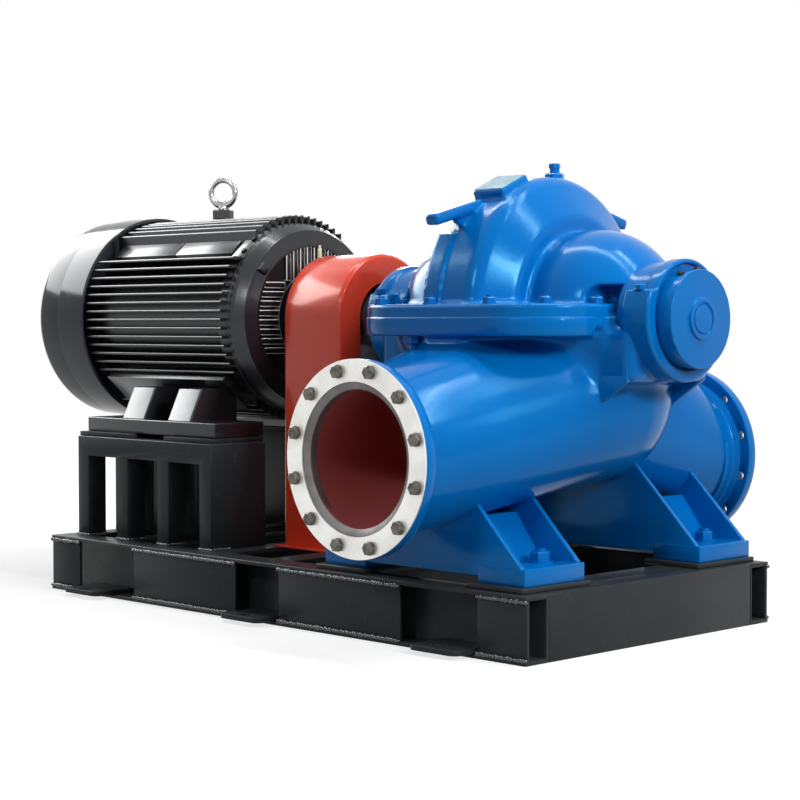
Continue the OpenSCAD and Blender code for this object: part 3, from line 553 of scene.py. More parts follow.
# the casing's two castings; blend gives the fillets where forms meet
casing = {
    "cell": 5.0, "upperX": 420, "upperY": 395, "upperUp": 372, "lowerX": 425, "lowerY": (-606, 584),
    "lowerFoot": 200, "lowerUp": 80, "overlap": 20,
    "voluteR": 336, "rimHalf": 41, "rimRound": 45, "rootHalf": 79, "rootR": 226, "coreHalf": -300, "coreR": -40,
    "domeOffset": 188, "domeLong": 206, "domeR": 205, "valley": 20, "squeeze": 1.08,
    "splitHalf": 330, "splitWide": 355, "splitRound": 7, "thinRound": 6, "seam": -2.0, "upperSeam": -10.0,
    "step": 0.5, "cornerRound": 168, "upperT": 30, "lowerT": 44, "thinT": 27, "notchX": 312, "notchY": 186,
    "neckR": 188, "neckY": -588, "lip": 4, "chamberOffset": 152, "chamberR": 200, "chamberDrop": 190,
    "inEase": 0.35, "inWall": 33, "inEnd": -190, "wallGap": 6,
    "outR": 178, "outY": 566, "outDrop": 38, "bulgeY": 90, "bulgeBack": 200, "tailY": 175, "tailPower": 3.0,
    "bulgeDrop": 165, "bulgeR": 225, "bulgeHalf": 150, "outWall": 28, "outEnd": 280,
    "alcoveAt": (350, 190, 36), "alcoveHalf": (70, 118, 36), "alcoveRound": 28,
    "stripX": 60, "stripHalf": 26, "stripUp": 6, "stripTop": 196,
    "lugX": -25, "lugReach": 348, "lugInset": 80, "lugRise": 226, "lugUp": 24, "lugTilt": 6, "lugDroop": 15,
    "lugHalf": (20, 82, 13), "lugRound": 4, "webAt": (-34, -22), "webHalf": (9, 40, 26), "webCut": (0.62, 0.78, 22),
    "padHalf": 48, "padH": 12, "padDeep": 30, "padRound": 3, "padLean": 24,
    "glandR": 90, "glandX": 318, "upperEnd": 380,
    "bracketX": 261, "bracketDrop": 88, "bracketHalf": (141, 148, 64), "bracketRound": 26,
    "saddleR": 147, "saddleX": (374, 403), "saddleTop": 60, "hollowR": 127, "hollowX": 322,
    "blend": {"alcove": 6, "flange": 14, "strip": 5, "lug": 7, "pad": 5, "gland": 5, "inlet": 34, "outlet": 44,
              "thick": 16, "thin": 8, "bracket": 22, "saddle": 10, "hollow": 4},
}


def turnedCasing(x, y, z, c, squeeze=1.0):
    # volute rim between two suction domes, turned about the shaft
    r = np.sqrt((y * squeeze) ** 2 + (z - shaftZ) ** 2)
    side = np.abs(x - pumpX)
    top = c["voluteR"] - c["rimRound"]
    rim = [(c["coreHalf"], c["coreR"]), (c["rootHalf"], c["coreR"]), (c["rootHalf"], c["rootR"]),
           (c["rimHalf"], top), (c["coreHalf"], top)]
    volute = outlineField(side, r, rim, c["rimRound"])
    along = (side - c["domeOffset"]) / c["domeLong"]
    dome = (np.sqrt(along ** 2 + (r / c["domeR"]) ** 2) - 1) * c["domeR"]
    return melt(volute, dome, c["valley"])


def splitPlan(x, y, c):
    return roundBox(c["cornerRound"], np.abs(x - pumpX) - c["splitHalf"], np.abs(y) - c["splitWide"])


def inletAt(y, c):
    # half spread, radius and middle height of the suction passage
    t = np.clip((y - c["neckY"]) / -c["neckY"], 0, 1)
    ease = t * t * (3 - 2 * t) * c["inEase"] + t * (1 - c["inEase"])
    return (c["chamberOffset"] * ease, c["neckR"] + (c["chamberR"] - c["neckR"]) * ease,
            nozzleZ + (shaftZ - c["chamberDrop"] - nozzleZ) * ease)


def tailShare(y, c):
    return np.clip((y - c["tailY"]) / (c["outY"] - c["tailY"]), 0, 1)


def outletAt(y, c):
    # half width, half height and middle height of the discharge passage
    t = tailShare(y, c)
    top = shaftZ - c["bulgeDrop"]
    return (c["bulgeHalf"] + (c["outR"] - c["bulgeHalf"]) * t, c["bulgeR"] + (c["outR"] - c["bulgeR"]) * t,
            top + (nozzleZ - c["outDrop"] - top) * t)


def passageAt(y, c):
    # half spread, half width, half height and middle height of either passage
    if y < 0:
        spread, wide, middle = (float(v) for v in inletAt(y, c))
        return spread, wide, wide, middle
    return 0.0, *(float(v) for v in outletAt(y, c))


def castUpper(c):
    mix = c["blend"]
    low = (pumpX - c["upperX"], -c["upperY"], shaftZ - c["overlap"])
    high = (pumpX + c["upperX"], c["upperY"], shaftZ + c["upperUp"])
    x, y, z = castAxes(low, high, c["cell"])
    side, up = np.abs(x - pumpX), z - shaftZ
    body = turnedCasing(x, y, z, c, c["squeeze"])
    # alcoves over the split bolts beside the glands
    ax, ay, az = c["alcoveAt"]
    for end in (-1, 1):
        for flank in (-1, 1):
            centre = (pumpX + end * ax, flank * ay, shaftZ + az)
            body = carve(body, blockField(x, y, z, centre, c["alcoveHalf"], c["alcoveRound"]), mix["alcove"])
    plan = splitPlan(x, y, c) + c["step"]
    flange = slabField(plan, z, shaftZ - c["overlap"], shaftZ + c["upperT"], c["splitRound"])
    body = melt(body, flange, mix["flange"])
    # raised strip low on the rim, towards the motor
    rimR = np.sqrt((y * c["squeeze"]) ** 2 + up ** 2)
    strip = within(rimR - c["voluteR"] - c["stripUp"], np.abs(x - pumpX + c["stripX"]) - c["stripHalf"],
                   up - c["stripTop"])
    body = melt(body, strip, mix["strip"])
    # lifting lugs, drooping outwards, and the bare plate's pad
    for flank in (-1, 1):
        out = flank * y - c["lugReach"] + c["lugInset"]
        rise = up - c["lugRise"] - c["lugUp"] - flank * c["lugTilt"]
        a, b = tilted(out, rise, -c["lugDroop"])
        lug = blockField(x, a, b, (pumpX + c["lugX"], 0, 0), c["lugHalf"], c["lugRound"])
        body = melt(body, lug, mix["lug"])
        web = blockField(x, a, b, (pumpX + c["lugX"], *c["webAt"]), c["webHalf"], c["lugRound"])
        over, under, past = c["webCut"]
        body = melt(body, np.maximum(web, a * over - b * under - past), mix["lug"])
    a, b = tilted(y, up, c["padLean"])
    half, deep = c["padHalf"], c["padDeep"]
    pad = blockField(x, a, b, (pumpX, 0, c["voluteR"] - deep), (half, half, deep + c["padH"]), c["padRound"])
    body = melt(body, pad, mix["pad"])
    # flat underside on the split, and room for the glands and bearings
    body = np.maximum(body, shaftZ + c["upperSeam"] - z)
    gland = np.maximum(np.sqrt(y ** 2 + up ** 2) - c["glandR"], c["glandX"] - side)
    body = np.maximum(carve(body, gland, mix["gland"]), side - c["upperEnd"])
    return castMesh("upperCasting", body, low, c["cell"])


def castLower(c):
    mix = c["blend"]
    low = (pumpX - c["lowerX"], c["lowerY"][0], c["lowerFoot"])
    high = (pumpX + c["lowerX"], c["lowerY"][1], shaftZ + c["lowerUp"])
    x, y, z = castAxes(low, high, c["cell"])
    side, up = np.abs(x - pumpX), z - shaftZ
    r = np.sqrt(y ** 2 + up ** 2)
    body = turnedCasing(x, y, z, c)
    # suction side: a round neck that widens into two chambers
    half, radius, middle = inletAt(y, c)
    across = np.maximum(side - half, 0) ** 2 + (z - middle) ** 2
    inlet = np.sqrt(across + np.maximum(y, 0) ** 2) - radius
    body = melt(body, np.maximum(inlet, c["neckY"] - c["lip"] - y), mix["inlet"])
    inner = np.maximum(np.sqrt(across) - radius + c["inWall"] - c["wallGap"], y - c["inEnd"])
    # discharge side: the volute's tail, which narrows to a round neck
    wide, tall, middle = outletAt(y, c)
    back = np.minimum(y - c["bulgeY"], 0) / c["bulgeBack"]
    power = c["tailPower"] - tailShare(y, c)
    across = ((side / wide) ** power + (np.abs(z - middle) / tall) ** power) ** (1 / power)
    outlet = (np.sqrt(across ** 2 + back ** 2) - 1) * np.minimum(wide, tall)
    body = melt(body, np.maximum(outlet, y - c["outY"] - c["lip"]), mix["outlet"])
    wall = c["outWall"] - c["wallGap"]
    outer = (np.sqrt((side / (wide - wall)) ** 2 + ((z - middle) / (tall - wall)) ** 2) - 1) * (wide - wall)
    outer = np.maximum(outer, c["outEnd"] - y)
    # split flange, thinner at its ends
    plan = splitPlan(x, y, c)
    notch = np.maximum(c["notchX"] - side, np.abs(y) - c["notchY"])
    top = shaftZ + c["overlap"]
    thick = slabField(np.maximum(plan, -notch), z, shaftZ - c["lowerT"], top, c["splitRound"])
    thin = slabField(plan, z, shaftZ - c["thinT"], top, c["thinRound"])
    body = melt(melt(body, thick, mix["thick"]), thin, mix["thin"])
    body = np.maximum(body, up + c["seam"])
    # bearing brackets: rounded boxes, with raised saddles at the bearings
    centre = (c["bracketX"], 0, shaftZ - c["bracketDrop"])
    body = melt(body, blockField(side, y, z, centre, c["bracketHalf"], c["bracketRound"]), mix["bracket"])
    saddle = within(r - c["saddleR"], side - c["saddleX"][1], c["saddleX"][0] - side, up - c["saddleTop"])
    body = melt(body, saddle, mix["saddle"])
    body = carve(body, np.maximum(r - c["hollowR"], c["hollowX"] - side), mix["hollow"])
    # hollow passages behind the flanges
    return castMesh("lowerCasting", within(body, -inner, -outer), low, c["cell"])


upperPiece = addPiece("upperCasting", castUpper(casing), blueCoat, "upper_casing")
lowerPiece = addPiece("lowerCasting", castLower(casing), blueCoat, "lower_casing")

# bare plate on the leaning pad
plate = {"half": 43, "low": 344, "high": 350.5, "edge": 1.2, "lean": casing["padLean"]}


def makePlate(p):
    def toPlate(a, b, c):
        across, up = tilted(b, c, -p["lean"])
        return ((pumpX + a) * mm, across * mm, (shaftZ + up) * mm)

    bm = bmesh.new()
    h = p["half"]
    prism(bm, [(-h, -h), (h, -h), (h, h), (-h, h)], toPlate, p["low"], p["high"])
    soften(bm, p["edge"])
    addShape("barePlate", bm, 35, (plateMetal, "pump_paint"))


makePlate(plate)

# vent valve: each drum has a radius, its ends, the width and height of its chamfer, and its sides
vent = {"shift": 6, "sink": 4, "drums": ((25, 0, 24, 3, 3, 6), (12, 22, 38, 0, 0, 24), (15, 36, 48, 3, 2, 6))}


def makeVent(v):
    low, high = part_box("vent_valve")

    def toVent(a, b, length):
        return ((low.x + high.x) / 2 + (a + v["shift"]) * mm, (low.y + high.y) / 2 + (b + v["shift"]) * mm,
                low.z + (length - v["sink"]) * mm)

    bm = bmesh.new()
    for radius, start, end, cut, drop, sides in v["drums"]:
        crown = [(radius, end - drop), (radius - cut, end)] if cut else [(radius, end)]
        lathe(bm, [(0, start), (radius, start), *crown, (0, end)], toVent, sides)
    addShape("ventValve", bm, 30, blueCoat, "vent_valve")


makeVent(vent)
print("cast casings:", len(upperPiece.data.polygons), len(lowerPiece.data.polygons), "faces")

# plain dressing of the rest, replaced piece by piece below
slotPaint = {
    "skid_paint": skidPaint, "motor_paint": motorPaint, "pump_paint": pumpPaint, "guard_paint": guardPaint,
    "face_paint": facePaint, "bright_steel": brightSteel, "coupling_iron": couplingIron, "gland_metal": glandMetal,
}
for row in frame["record"]["subparts"]:
    for materialSlot in cadNodes[row["node"]].material_slots:
        materialSlot.material = slotPaint[row["material_slot"]]


class NodeTree(NodeKit):
    # a geometry node tree with named inputs
    def __init__(self, name, inputs):
        super().__init__(bpy.data.node_groups.new(name, "GeometryNodeTree"))
        sockets = self.tree.interface
        sockets.new_socket("Geometry", in_out="INPUT", socket_type="NodeSocketGeometry")
        self.keys = {}
        for label, kind in inputs.items():
            self.keys[label] = sockets.new_socket(label, in_out="INPUT", socket_type="NodeSocket" + kind)
        sockets.new_socket("Geometry", in_out="OUTPUT", socket_type="NodeSocketGeometry")
        self.source = self.tree.nodes.new("NodeGroupInput")
        self.end = self.tree.nodes.new("NodeGroupOutput")

    def input(self, label):
        return Wire(self, self.source.outputs[label])

    def vector(self, x, y, z):
        return self.add("ShaderNodeCombineXYZ", None, {0: x, 1: y, 2: z})

    def move(self, geometry, **sockets):
        return self.add("GeometryNodeTransform", None, {0: geometry, **sockets})

    def copies(self, points, instance, **sockets):
        return self.add("GeometryNodeInstanceOnPoints", None, {"Points": points, "Instance": instance, **sockets})

    def close(self, geometry):
        real = self.add("GeometryNodeRealizeInstances", None, {0: geometry})
        dressed = self.add("GeometryNodeSetMaterial", None, {0: real, "Material": self.input("Material")})
        self.tree.links.new(dressed.socket, self.end.inputs[0])
        return self


def grow(name, mesh, tree, values, coat, sharp=35):
    # runs a tree on a small guide mesh and keeps the result as a plain mesh
    material, slotName = coat
    piece = linkNew(name, mesh)
    modifier = piece.modifiers.new(name, "NODES")
    modifier.node_group = tree.tree
    for label, value in dict(values, Material=material).items():
        modifier[tree.keys[label].identifier] = value
    graph = bpy.context.evaluated_depsgraph_get()
    made = bpy.data.meshes.new_from_object(piece.evaluated_get(graph), depsgraph=graph)
    made.name = name
    piece.modifiers.remove(modifier)
    piece.data = made
    smoothMesh(made, sharp)
    return enlist(piece)


def guideMesh(name, points, axes):
    mesh = bpy.data.meshes.new(name)
    mesh.from_pydata([upZ(*p) for p in points], [], [])
    layer = mesh.attributes.new("axis", "FLOAT_VECTOR", "POINT")
    layer.data.foreach_set("vector", [c for a in axes for c in a])
    return mesh


# shares of a bolt: its head below the crown, the crown's top, where the stud starts, and sizes across flats
boltShape = {"drum": 0.84, "crownTop": 0.84, "studFrom": 0.9, "headH": 0.65, "washerH": 0.07, "studR": 0.3,
             "studLeast": 0.2, "washerSides": 24, "studSides": 14, "sides": 6}


def makeBoltTree(s):
    # washer, hexagon head with a chamfered crown, and the end of a stud
    keys = ("Head", "Height", "Washer", "WasherHeight", "Stud", "StudHeight")
    g = NodeTree("hexBolts", {**{key: "Float" for key in keys}, "Material": "Material"})
    head, height, washer, washerHeight, stud, studHeight = (g.input(key) for key in keys)

    def drum(sides, radius, tall, low):
        shape = g.add("GeometryNodeMeshCylinder", None, {"Vertices": sides, "Radius": radius, "Depth": tall})
        return g.move(shape, Translation=g.vector(0.0, 0.0, low + tall / 2))

    crown = g.add("GeometryNodeMeshCone", None, {
        "Vertices": s["sides"], "Radius Top": head * s["crownTop"], "Radius Bottom": head,
        "Depth": height * (1 - s["drum"])})
    crown = g.move(crown, Translation=g.vector(0.0, 0.0, washerHeight + height * s["drum"]))
    parts = [drum(s["washerSides"], washer, washerHeight, 0.0),
             drum(s["sides"], head, height * s["drum"], washerHeight), crown,
             drum(s["studSides"], stud, studHeight, washerHeight + height * s["studFrom"])]
    bolt = g.add("GeometryNodeJoinGeometry", None, {0: parts})
    axis = g.add("GeometryNodeInputNamedAttribute", {"data_type": "FLOAT_VECTOR"}, {0: "axis"})
    turn = g.add("FunctionNodeAlignRotationToVector", {"axis": "Z"}, {"Vector": axis})
    return g.close(g.copies(g.input("Geometry"), bolt, Rotation=turn))


boltTree = makeBoltTree(boltShape)


def setBolts(name, points, axes, size, coat, washer=1.25, tall=0.8, stud=0.0):
    # size is across the flats of the head, in millimetres; one axis serves all the points, or each has its own
    s = boltShape
    head = size / 2 / math.cos(math.pi / 6)
    sizes = {"Head": head, "Height": size * tall * s["headH"], "Washer": head * washer,
             "WasherHeight": size * s["washerH"], "Stud": size * s["studR"], "StudHeight": max(stud, s["studLeast"])}
    axes = axes * (len(points) // len(axes))
    return grow(name, guideMesh(name, points, axes), boltTree, {key: v * mm for key, v in sizes.items()}, coat)


bead = {"least": (0.8, 0.75, 0.6), "most": (1.25, 1.2, 1.0), "segments": 8, "rings": 5}


def makeBeadTree(b):
    # a weld: flat drops along a path, each a little different
    g = NodeTree("weldBeads", {"Pitch": "Float", "Size": "Float", "Seed": "Int", "Material": "Material"})
    path = g.add("GeometryNodeMeshToCurve", None, {0: g.input("Geometry")})
    steps = g.add("GeometryNodeResampleCurve", {"mode": "LENGTH"}, {"Curve": path, "Length": g.input("Pitch")})
    drop = g.add("GeometryNodeMeshUVSphere", None, {
        "Segments": b["segments"], "Rings": b["rings"], "Radius": g.input("Size")})
    spread = g.add("FunctionNodeRandomValue", {"data_type": "FLOAT_VECTOR"},
                   {0: b["least"], 1: b["most"], "Seed": g.input("Seed")})
    return g.close(g.copies(steps, drop, Scale=spread))


beadTree = makeBeadTree(bead)


def runWeld(name, paths, pitch, size, seed, coat):
    mesh = bpy.data.meshes.new(name)
    points, edges = [], []
    for path in paths:
        for k, p in enumerate(path):
            points.append(upZ(*p))
            if k:
                edges.append((len(points) - 2, len(points) - 1))
    mesh.from_pydata(points, edges, [])
    return grow(name, mesh, beadTree, {"Pitch": pitch * mm, "Size": size * mm, "Seed": seed}, coat, sharp=None)


finSizes = ("Pitch", "Thickness", "Reach", "Root", "Start", "Length")


def makeFinTree():
    # parallel fins that end on a circle, with rounded tips
    g = NodeTree("parallelFins", {"Count": "Int", **{key: "Float" for key in finSizes}, "Turn": "Float",
                                  "Height": "Float", "Material": "Material"})
    pitch, thick, reach, root, start, length = (g.input(key) for key in finSizes)
    count = g.input("Count")
    order = g.add("GeometryNodeInputIndex")
    row = (order - (count - 1) / 2) * pitch
    tip = (reach * reach - row * row) ** 0.5
    middle = start + length / 2
    points = g.add("GeometryNodePoints", None, {"Count": count})

    def rowAt(y):
        return g.add("GeometryNodeSetPosition", None, {0: points, "Position": g.vector(middle, y, row)})

    slab = g.add("GeometryNodeMeshCube", None, {"Size": (1.0, 1.0, 1.0)})
    webs = g.copies(rowAt((root + tip) * -0.5), slab, Scale=g.vector(length, tip - root, thick))
    bar = g.add("GeometryNodeMeshCylinder", None, {"Vertices": 12, "Radius": thick / 2, "Depth": length})
    tips = g.copies(rowAt(tip * -1.0), g.move(bar, Rotation=(0.0, math.pi / 2, 0.0)))
    both = g.add("GeometryNodeJoinGeometry", None, {0: [webs, tips]})
    return g.close(g.move(both, Translation=g.vector(0.0, 0.0, g.input("Height")),
                          Rotation=g.vector(g.input("Turn"), 0.0, 0.0)))


finTree = makeFinTree()


def setFins(name, f, coat):
    sizes = {key: f[key.lower()] * mm for key in finSizes}
    pieces = []
    for turn, count, rise in f["sides"]:
        label = f"{name}{turn % 360}"
        values = dict(sizes, Count=count, Turn=math.radians(turn), Height=(shaftZ + rise) * mm)
        pieces.append(grow(label, guideMesh(label, [(0, 0, 0)], [(0, 0, 1)]), finTree, values, coat))
    return pieces


def holedRing(bm, outer, inner, pcd, count, hole, toPoint, low, high):
    # flat ring with a circle of holes, made sector by sector
    arcSteps, sideSteps = 8, 4
    wide = math.pi / count
    arc = [2 * k / arcSteps - 1 for k in range(arcSteps)]
    leg = [k / sideSteps for k in range(sideSteps)]
    for i in range(count):
        middle = 2 * math.pi * (i + 0.5) / count
        spots = [(outer, middle + wide * t) for t in arc]
        spots += [(outer + (inner - outer) * t, middle + wide) for t in leg]
        spots += [(inner, middle - wide * t) for t in arc]
        spots += [(inner + (outer - inner) * t, middle - wide) for t in leg]
        rim = [(r * math.cos(a), r * math.sin(a)) for r, a in spots]
        cx, cy = pcd / 2 * math.cos(middle), pcd / 2 * math.sin(middle)
        turns = [math.atan2(py - cy, px - cx) for px, py in rim]
        eye = [(cx + hole * math.cos(a), cy + hole * math.sin(a)) for a in turns]
        rimLow, rimHigh, eyeLow, eyeHigh = (
            [bm.verts.new(toPoint(a, b, c)) for a, b in ring] for ring in (rim, eye) for c in (low, high))
        skin(bm, [rimLow, eyeLow, eyeHigh, rimHigh])
        for k in (*range(arcSteps), *range(arcSteps + sideSteps, 2 * arcSteps + sideSteps)):
            n = (k + 1) % len(rim)
            bm.faces.new((rimLow[n], rimLow[k], rimHigh[k], rimHigh[n]))
    join(bm)


# suction and discharge flanges, with their lined passages and a plug in the suction neck
nozzles = {
    "suctionY": -613, "suctionBore": 155, "chamfer": 17, "chamferDepth": 8, "chamferBack": 20,
    "dischargeY": 590, "dischargeBore": 150, "flangeR": 222.5, "pcd": 400,
    "flangeT": 28, "count": 12, "hole": 11, "edge": 1.6, "filletSink": 2, "filletInside": 6,
    "lining": 10, "stations": 18, "around": 72, "closing": 4, "closeRate": 0.03, "pastEnd": 6,
    "plugAt": (172, -566, -3), "plugLine": ((0, 0), (17, 0), (17, 12), (15, 14), (9, 14), (8, 11), (0, 11)),
    "plugRound": (0, 0, 2, 1, 1, 1, 0),
}


def addLining(name, first, end, wall, n, c):
    # a thin cup along a passage, closed where the passage turns into the casing
    rows = []
    for k in range(n["stations"]):
        y = first + (end - first) * k / (n["stations"] - 1)
        spread, wide, tall, middle = passageAt(y, c)
        close = 1 - max(0.0, k - n["stations"] + n["closing"]) ** 2 * n["closeRate"]
        rows.append((y, spread, (wide - wall) * close, (tall - wall) * close, middle))
    bm = bmesh.new()
    turns = turnsOf(n["around"], 0.5)
    mouths = []
    for gap in (0.0, n["lining"]):
        rings = []
        for y, spread, wide, tall, middle in rows:
            spots = [((wide + gap) * math.cos(t) + math.copysign(spread, math.cos(t)),
                      middle + (tall + gap) * math.sin(t)) for t in turns]
            rings.append([bm.verts.new(acrossY(pumpX + a, b, y)) for a, b in spots])
        skin(bm, rings)
        deeper = rows[-1][0] + math.copysign(gap, end - first)
        tip = bm.verts.new(acrossY(pumpX, rows[-1][4], deeper))
        for k in range(n["around"]):
            bm.faces.new((rings[-1][k], rings[-1][(k + 1) % n["around"]], tip))
        mouths.append(rings[0])
    skin(bm, mouths)
    addShape(name, bm, 40, (borePaint, "guard_paint"))


def makeNozzles(n, c):
    toSuction = onNozzleLine(n["suctionY"], 1)
    toDischarge = onNozzleLine(n["dischargeY"], -1, c["outDrop"])
    bore, chamfer, deep = n["suctionBore"], n["chamfer"], n["chamferDepth"]
    for label, toPoint, inner in (("suctionFlange", toSuction, bore + chamfer),
                                  ("dischargeFlange", toDischarge, n["dischargeBore"])):
        bm = bmesh.new()
        holedRing(bm, n["flangeR"], inner, n["pcd"], n["count"], n["hole"], toPoint, 0, n["flangeT"])
        soften(bm, n["edge"])
        addShape(label, bm, 35, blueCoat)
    # fillets behind the flanges
    back = n["flangeT"] - n["filletSink"]
    for label, toPoint, neck in (("suctionNeckFillet", toSuction, c["neckR"]),
                                 ("dischargeNeckFillet", toDischarge, c["outR"])):
        bm = bmesh.new()
        inside = neck - n["filletInside"]
        ring = [(inside, back), (neck + 20, back), (neck + 3, back + 13), (neck - 0.8, back + 40), (inside, back + 40)]
        closeLoop(bm, roundOff(ring, [0, 0, 14, 20, 0], 6), toPoint)
        addShape(label, bm, 50, blueCoat)
    # bare iron at the bore's chamfer
    bm = bmesh.new()
    edge, end = bore + chamfer, deep + n["chamferBack"]
    closeLoop(bm, [(bore, deep), (bore + 2, deep - 1.6), (edge - 2.5, 0.6), (edge, 0.4), (edge + 1, 3), (edge + 1, end),
                   (bore, end)], toSuction, 128)
    addShape("suctionBoreChamfer", bm, 30, (chamferMetal, "gland_metal"))
    # primed passages
    addLining("suctionBore", n["suctionY"] + deep + 2, c["inEnd"] - n["pastEnd"], c["inWall"], n, c)
    addLining("dischargeBore", n["dischargeY"] - 1, c["outEnd"] + n["pastEnd"], c["outWall"], n, c)
    bm = bmesh.new()
    px, py, pz = n["plugAt"]
    toPlug = lambda a, b, length: ((pumpX + px + length) * mm, (py + a) * mm, (nozzleZ + pz + b) * mm)
    lathe(bm, roundOff(n["plugLine"], n["plugRound"], 3), toPlug, 24)
    addShape("suctionNeckPlug", bm, 35, blueCoat)


makeNozzles(nozzles, casing)

# pump feet: base plates, side ribs up to the casing and a leaning web between them
feet = {
    "sides": ((-1, 206, 409), (1, 222, 426)), "ribT": 14, "ribSteps": 62, "ribInset": 0.8, "half": 320, "setBack": 10,
    "baseZ": 162, "baseT": 40, "baseL": 140, "lift": 14, "webHalf": 205, "webLean": 80, "webH": 102, "webT": 16,
    "webInset": 4, "webSink": 2, "bite": 14, "edge": 2.6,
}


def ribLine(f, y):
    # upper edge of a rib: sloped at its ends, and a little inside the casing between them
    start, base = f["half"] - f["setBack"], f["baseZ"] + f["baseT"]
    spread, wide, tall, middle = passageAt(y, casing)
    line = []
    for k in range(f["ribSteps"] + 1):
        x = start - 2 * start * k / f["ribSteps"]
        top = base + start - abs(x)
        off = max(abs(x) - spread, 0.0) / (wide - f["bite"])
        if off < 1:
            top = min(top, middle - (tall - f["bite"]) * math.sqrt(1 - off * off))
        line.append((pumpX + x, top))
    return line


def makeFeet(f):
    bm = bmesh.new()
    base, sunk = f["baseZ"] + f["baseT"], f["baseZ"] + f["baseT"] - f["webSink"]
    start, lift = f["half"] - f["setBack"], f["baseZ"] + f["lift"]
    low, high = f["webHalf"], f["webHalf"] - f["webLean"]
    for side, near, far in f["sides"]:
        y0, y1 = sorted((side * near, side * far))
        for end in (-1, 1):
            box(bm, (pumpX + end * f["half"], pumpX + end * (f["half"] - f["baseL"])), (y0, y1), (f["baseZ"], base))
            web = [(low, sunk), (high, base + f["webH"]), (high - f["webT"], base + f["webH"]), (low - f["webT"], sunk)]
            prism(bm, [(pumpX + end * x, z) for x, z in web], acrossY, y0 + f["webInset"], y1 - f["webInset"])
        for a, b in ((y0 + f["ribInset"], y0 + f["ribT"]), (y1 - f["ribT"], y1 - f["ribInset"])):
            prism(bm, [(pumpX - start, lift), (pumpX + start, lift)] + ribLine(f, (a + b) / 2), acrossY, a, b)
    soften(bm, f["edge"], 3)
    addShape("pumpFeet", bm, 40, blueCoat)


makeFeet(feet)

# bearing housings, covers and the gussets under the brackets
bearings = {
    "cell": 3.0, "boxX": (326, 461), "boxR": 162, "boxUp": 150, "rearR": 124, "rearStart": 338, "rearShort": 6,
    "capR": 132, "capStart": 414, "capRound": 6, "capBlend": 6, "ringR": 149, "ringStart": 372, "ringRound": 7,
    "ringBlend": 3, "end": 449, "ledge": 60, "seatR": 121, "seatDepth": 11, "seatBlend": 2,
    "coverR": 112, "coverDrop": 5, "coverSink": 13, "coverEnd": 485, "bossR": 47, "bossEnd": 492,
    "gussetY": 141, "gussetT": 12, "gusset": ((200, 640), (390, 640), (390, 606), (250, 512), (200, 512)),
}


def castHousing(b, end, label):
    # a bearing cap on a wider half ring, which ends at a flat ledge
    xs = sorted(pumpX + end * x for x in b["boxX"])
    low, high = (xs[0], -b["boxR"], shaftZ - b["boxR"]), (xs[1], b["boxR"], shaftZ + b["boxUp"])
    x, y, z = castAxes(low, high, b["cell"])
    r = np.sqrt(y ** 2 + (z - shaftZ) ** 2)
    along, up = end * (x - pumpX), z - shaftZ

    def drum(radius, start, stop, k):
        return roundBox(k, r - radius, np.abs(along - (start + stop) / 2) - (stop - start) / 2)

    rear = drum(b["rearR"], b["rearStart"], b["end"] - b["rearShort"], b["capRound"])
    body = melt(rear, drum(b["capR"], b["capStart"], b["end"], b["capRound"]), b["capBlend"])
    ring = np.maximum(drum(b["ringR"], b["ringStart"], b["end"], b["ringRound"]), up - b["ledge"])
    body = melt(body, ring, b["ringBlend"])
    body = carve(body, np.maximum(r - b["seatR"], b["end"] - b["seatDepth"] - along), b["seatBlend"])
    return castMesh(label, body, low, b["cell"])


def makeBearings(b):
    start, rim, top, boss = b["end"] - b["coverSink"], b["coverR"], b["coverEnd"], b["bossEnd"]
    closed = [(0, start), (rim - 4, start), (rim, start + 4), (rim, top), (b["bossR"], top), (b["bossR"], boss),
              (38, boss), (36, boss - 4), (33, boss - 4), (31, boss - 0.5), (0, boss - 0.5)]
    bored = [(44, start), (rim, start), (rim, top), (60, top), (60, top - 6), (44, top - 6), (44, start)]
    for end, name, cover, outline, radii in (
            (1, "free_end", "freeEnd", closed, [0, 0, 0, 3, 4, 3, 1, 1, 1, 1, 0]),
            (-1, "drive_end", "driveEnd", bored, [0, 0, 4, 2, 2, 0, 0])):
        label = cover + "BearingHousing"
        addPiece(label, castHousing(b, end, label), blueCoat, name + "_bearing_housing")
        bm = bmesh.new()
        lathe(bm, roundOff(outline, radii), onShaftLine(pumpX, end, b["coverDrop"]), 128)
        join(bm)
        addShape(cover + "BearingCover", bm, 35, blueCoat, name + "_bearing_cover")
    bm = bmesh.new()
    for end in (-1, 1):
        for side in (-1, 1):
            y0, y1 = (side * b["gussetY"] + half * b["gussetT"] / 2 for half in (-1, 1))
            prism(bm, [(pumpX + end * x, z) for x, z in b["gusset"]], acrossY, y0, y1)
    soften(bm, 2)
    addShape("bracketGussets", bm, 40, blueCoat)


makeBearings(bearings)
print("flanges, feet and bearings ready")

# motor: barrel, fins and pads
motor = {
    "rear": motorRear, "front": motorFront, "barrelR": 245, "reach": 282, "root": 150, "finCount": 14,
    "pitch": 23.5, "thick": 8.0, "rise": 7, "finEnd": 3, "padAngle": 48, "padR": 260, "padHalf": 28, "padGap": 2.5,
    "padSplit": -650, "padRoot": 150, "padFrom": 24, "padTo": 62, "seatR": 281, "seatHalf": 62, "seatFrom": 40,
    "seatTo": 50, "bandR": 259, "bandL": 40, "plateHalf": 50, "plateFrom": 46, "plateTo": 4, "screwAt": 8,
    "screwApart": 24, "screw": 13, "edge": 2.4,
}


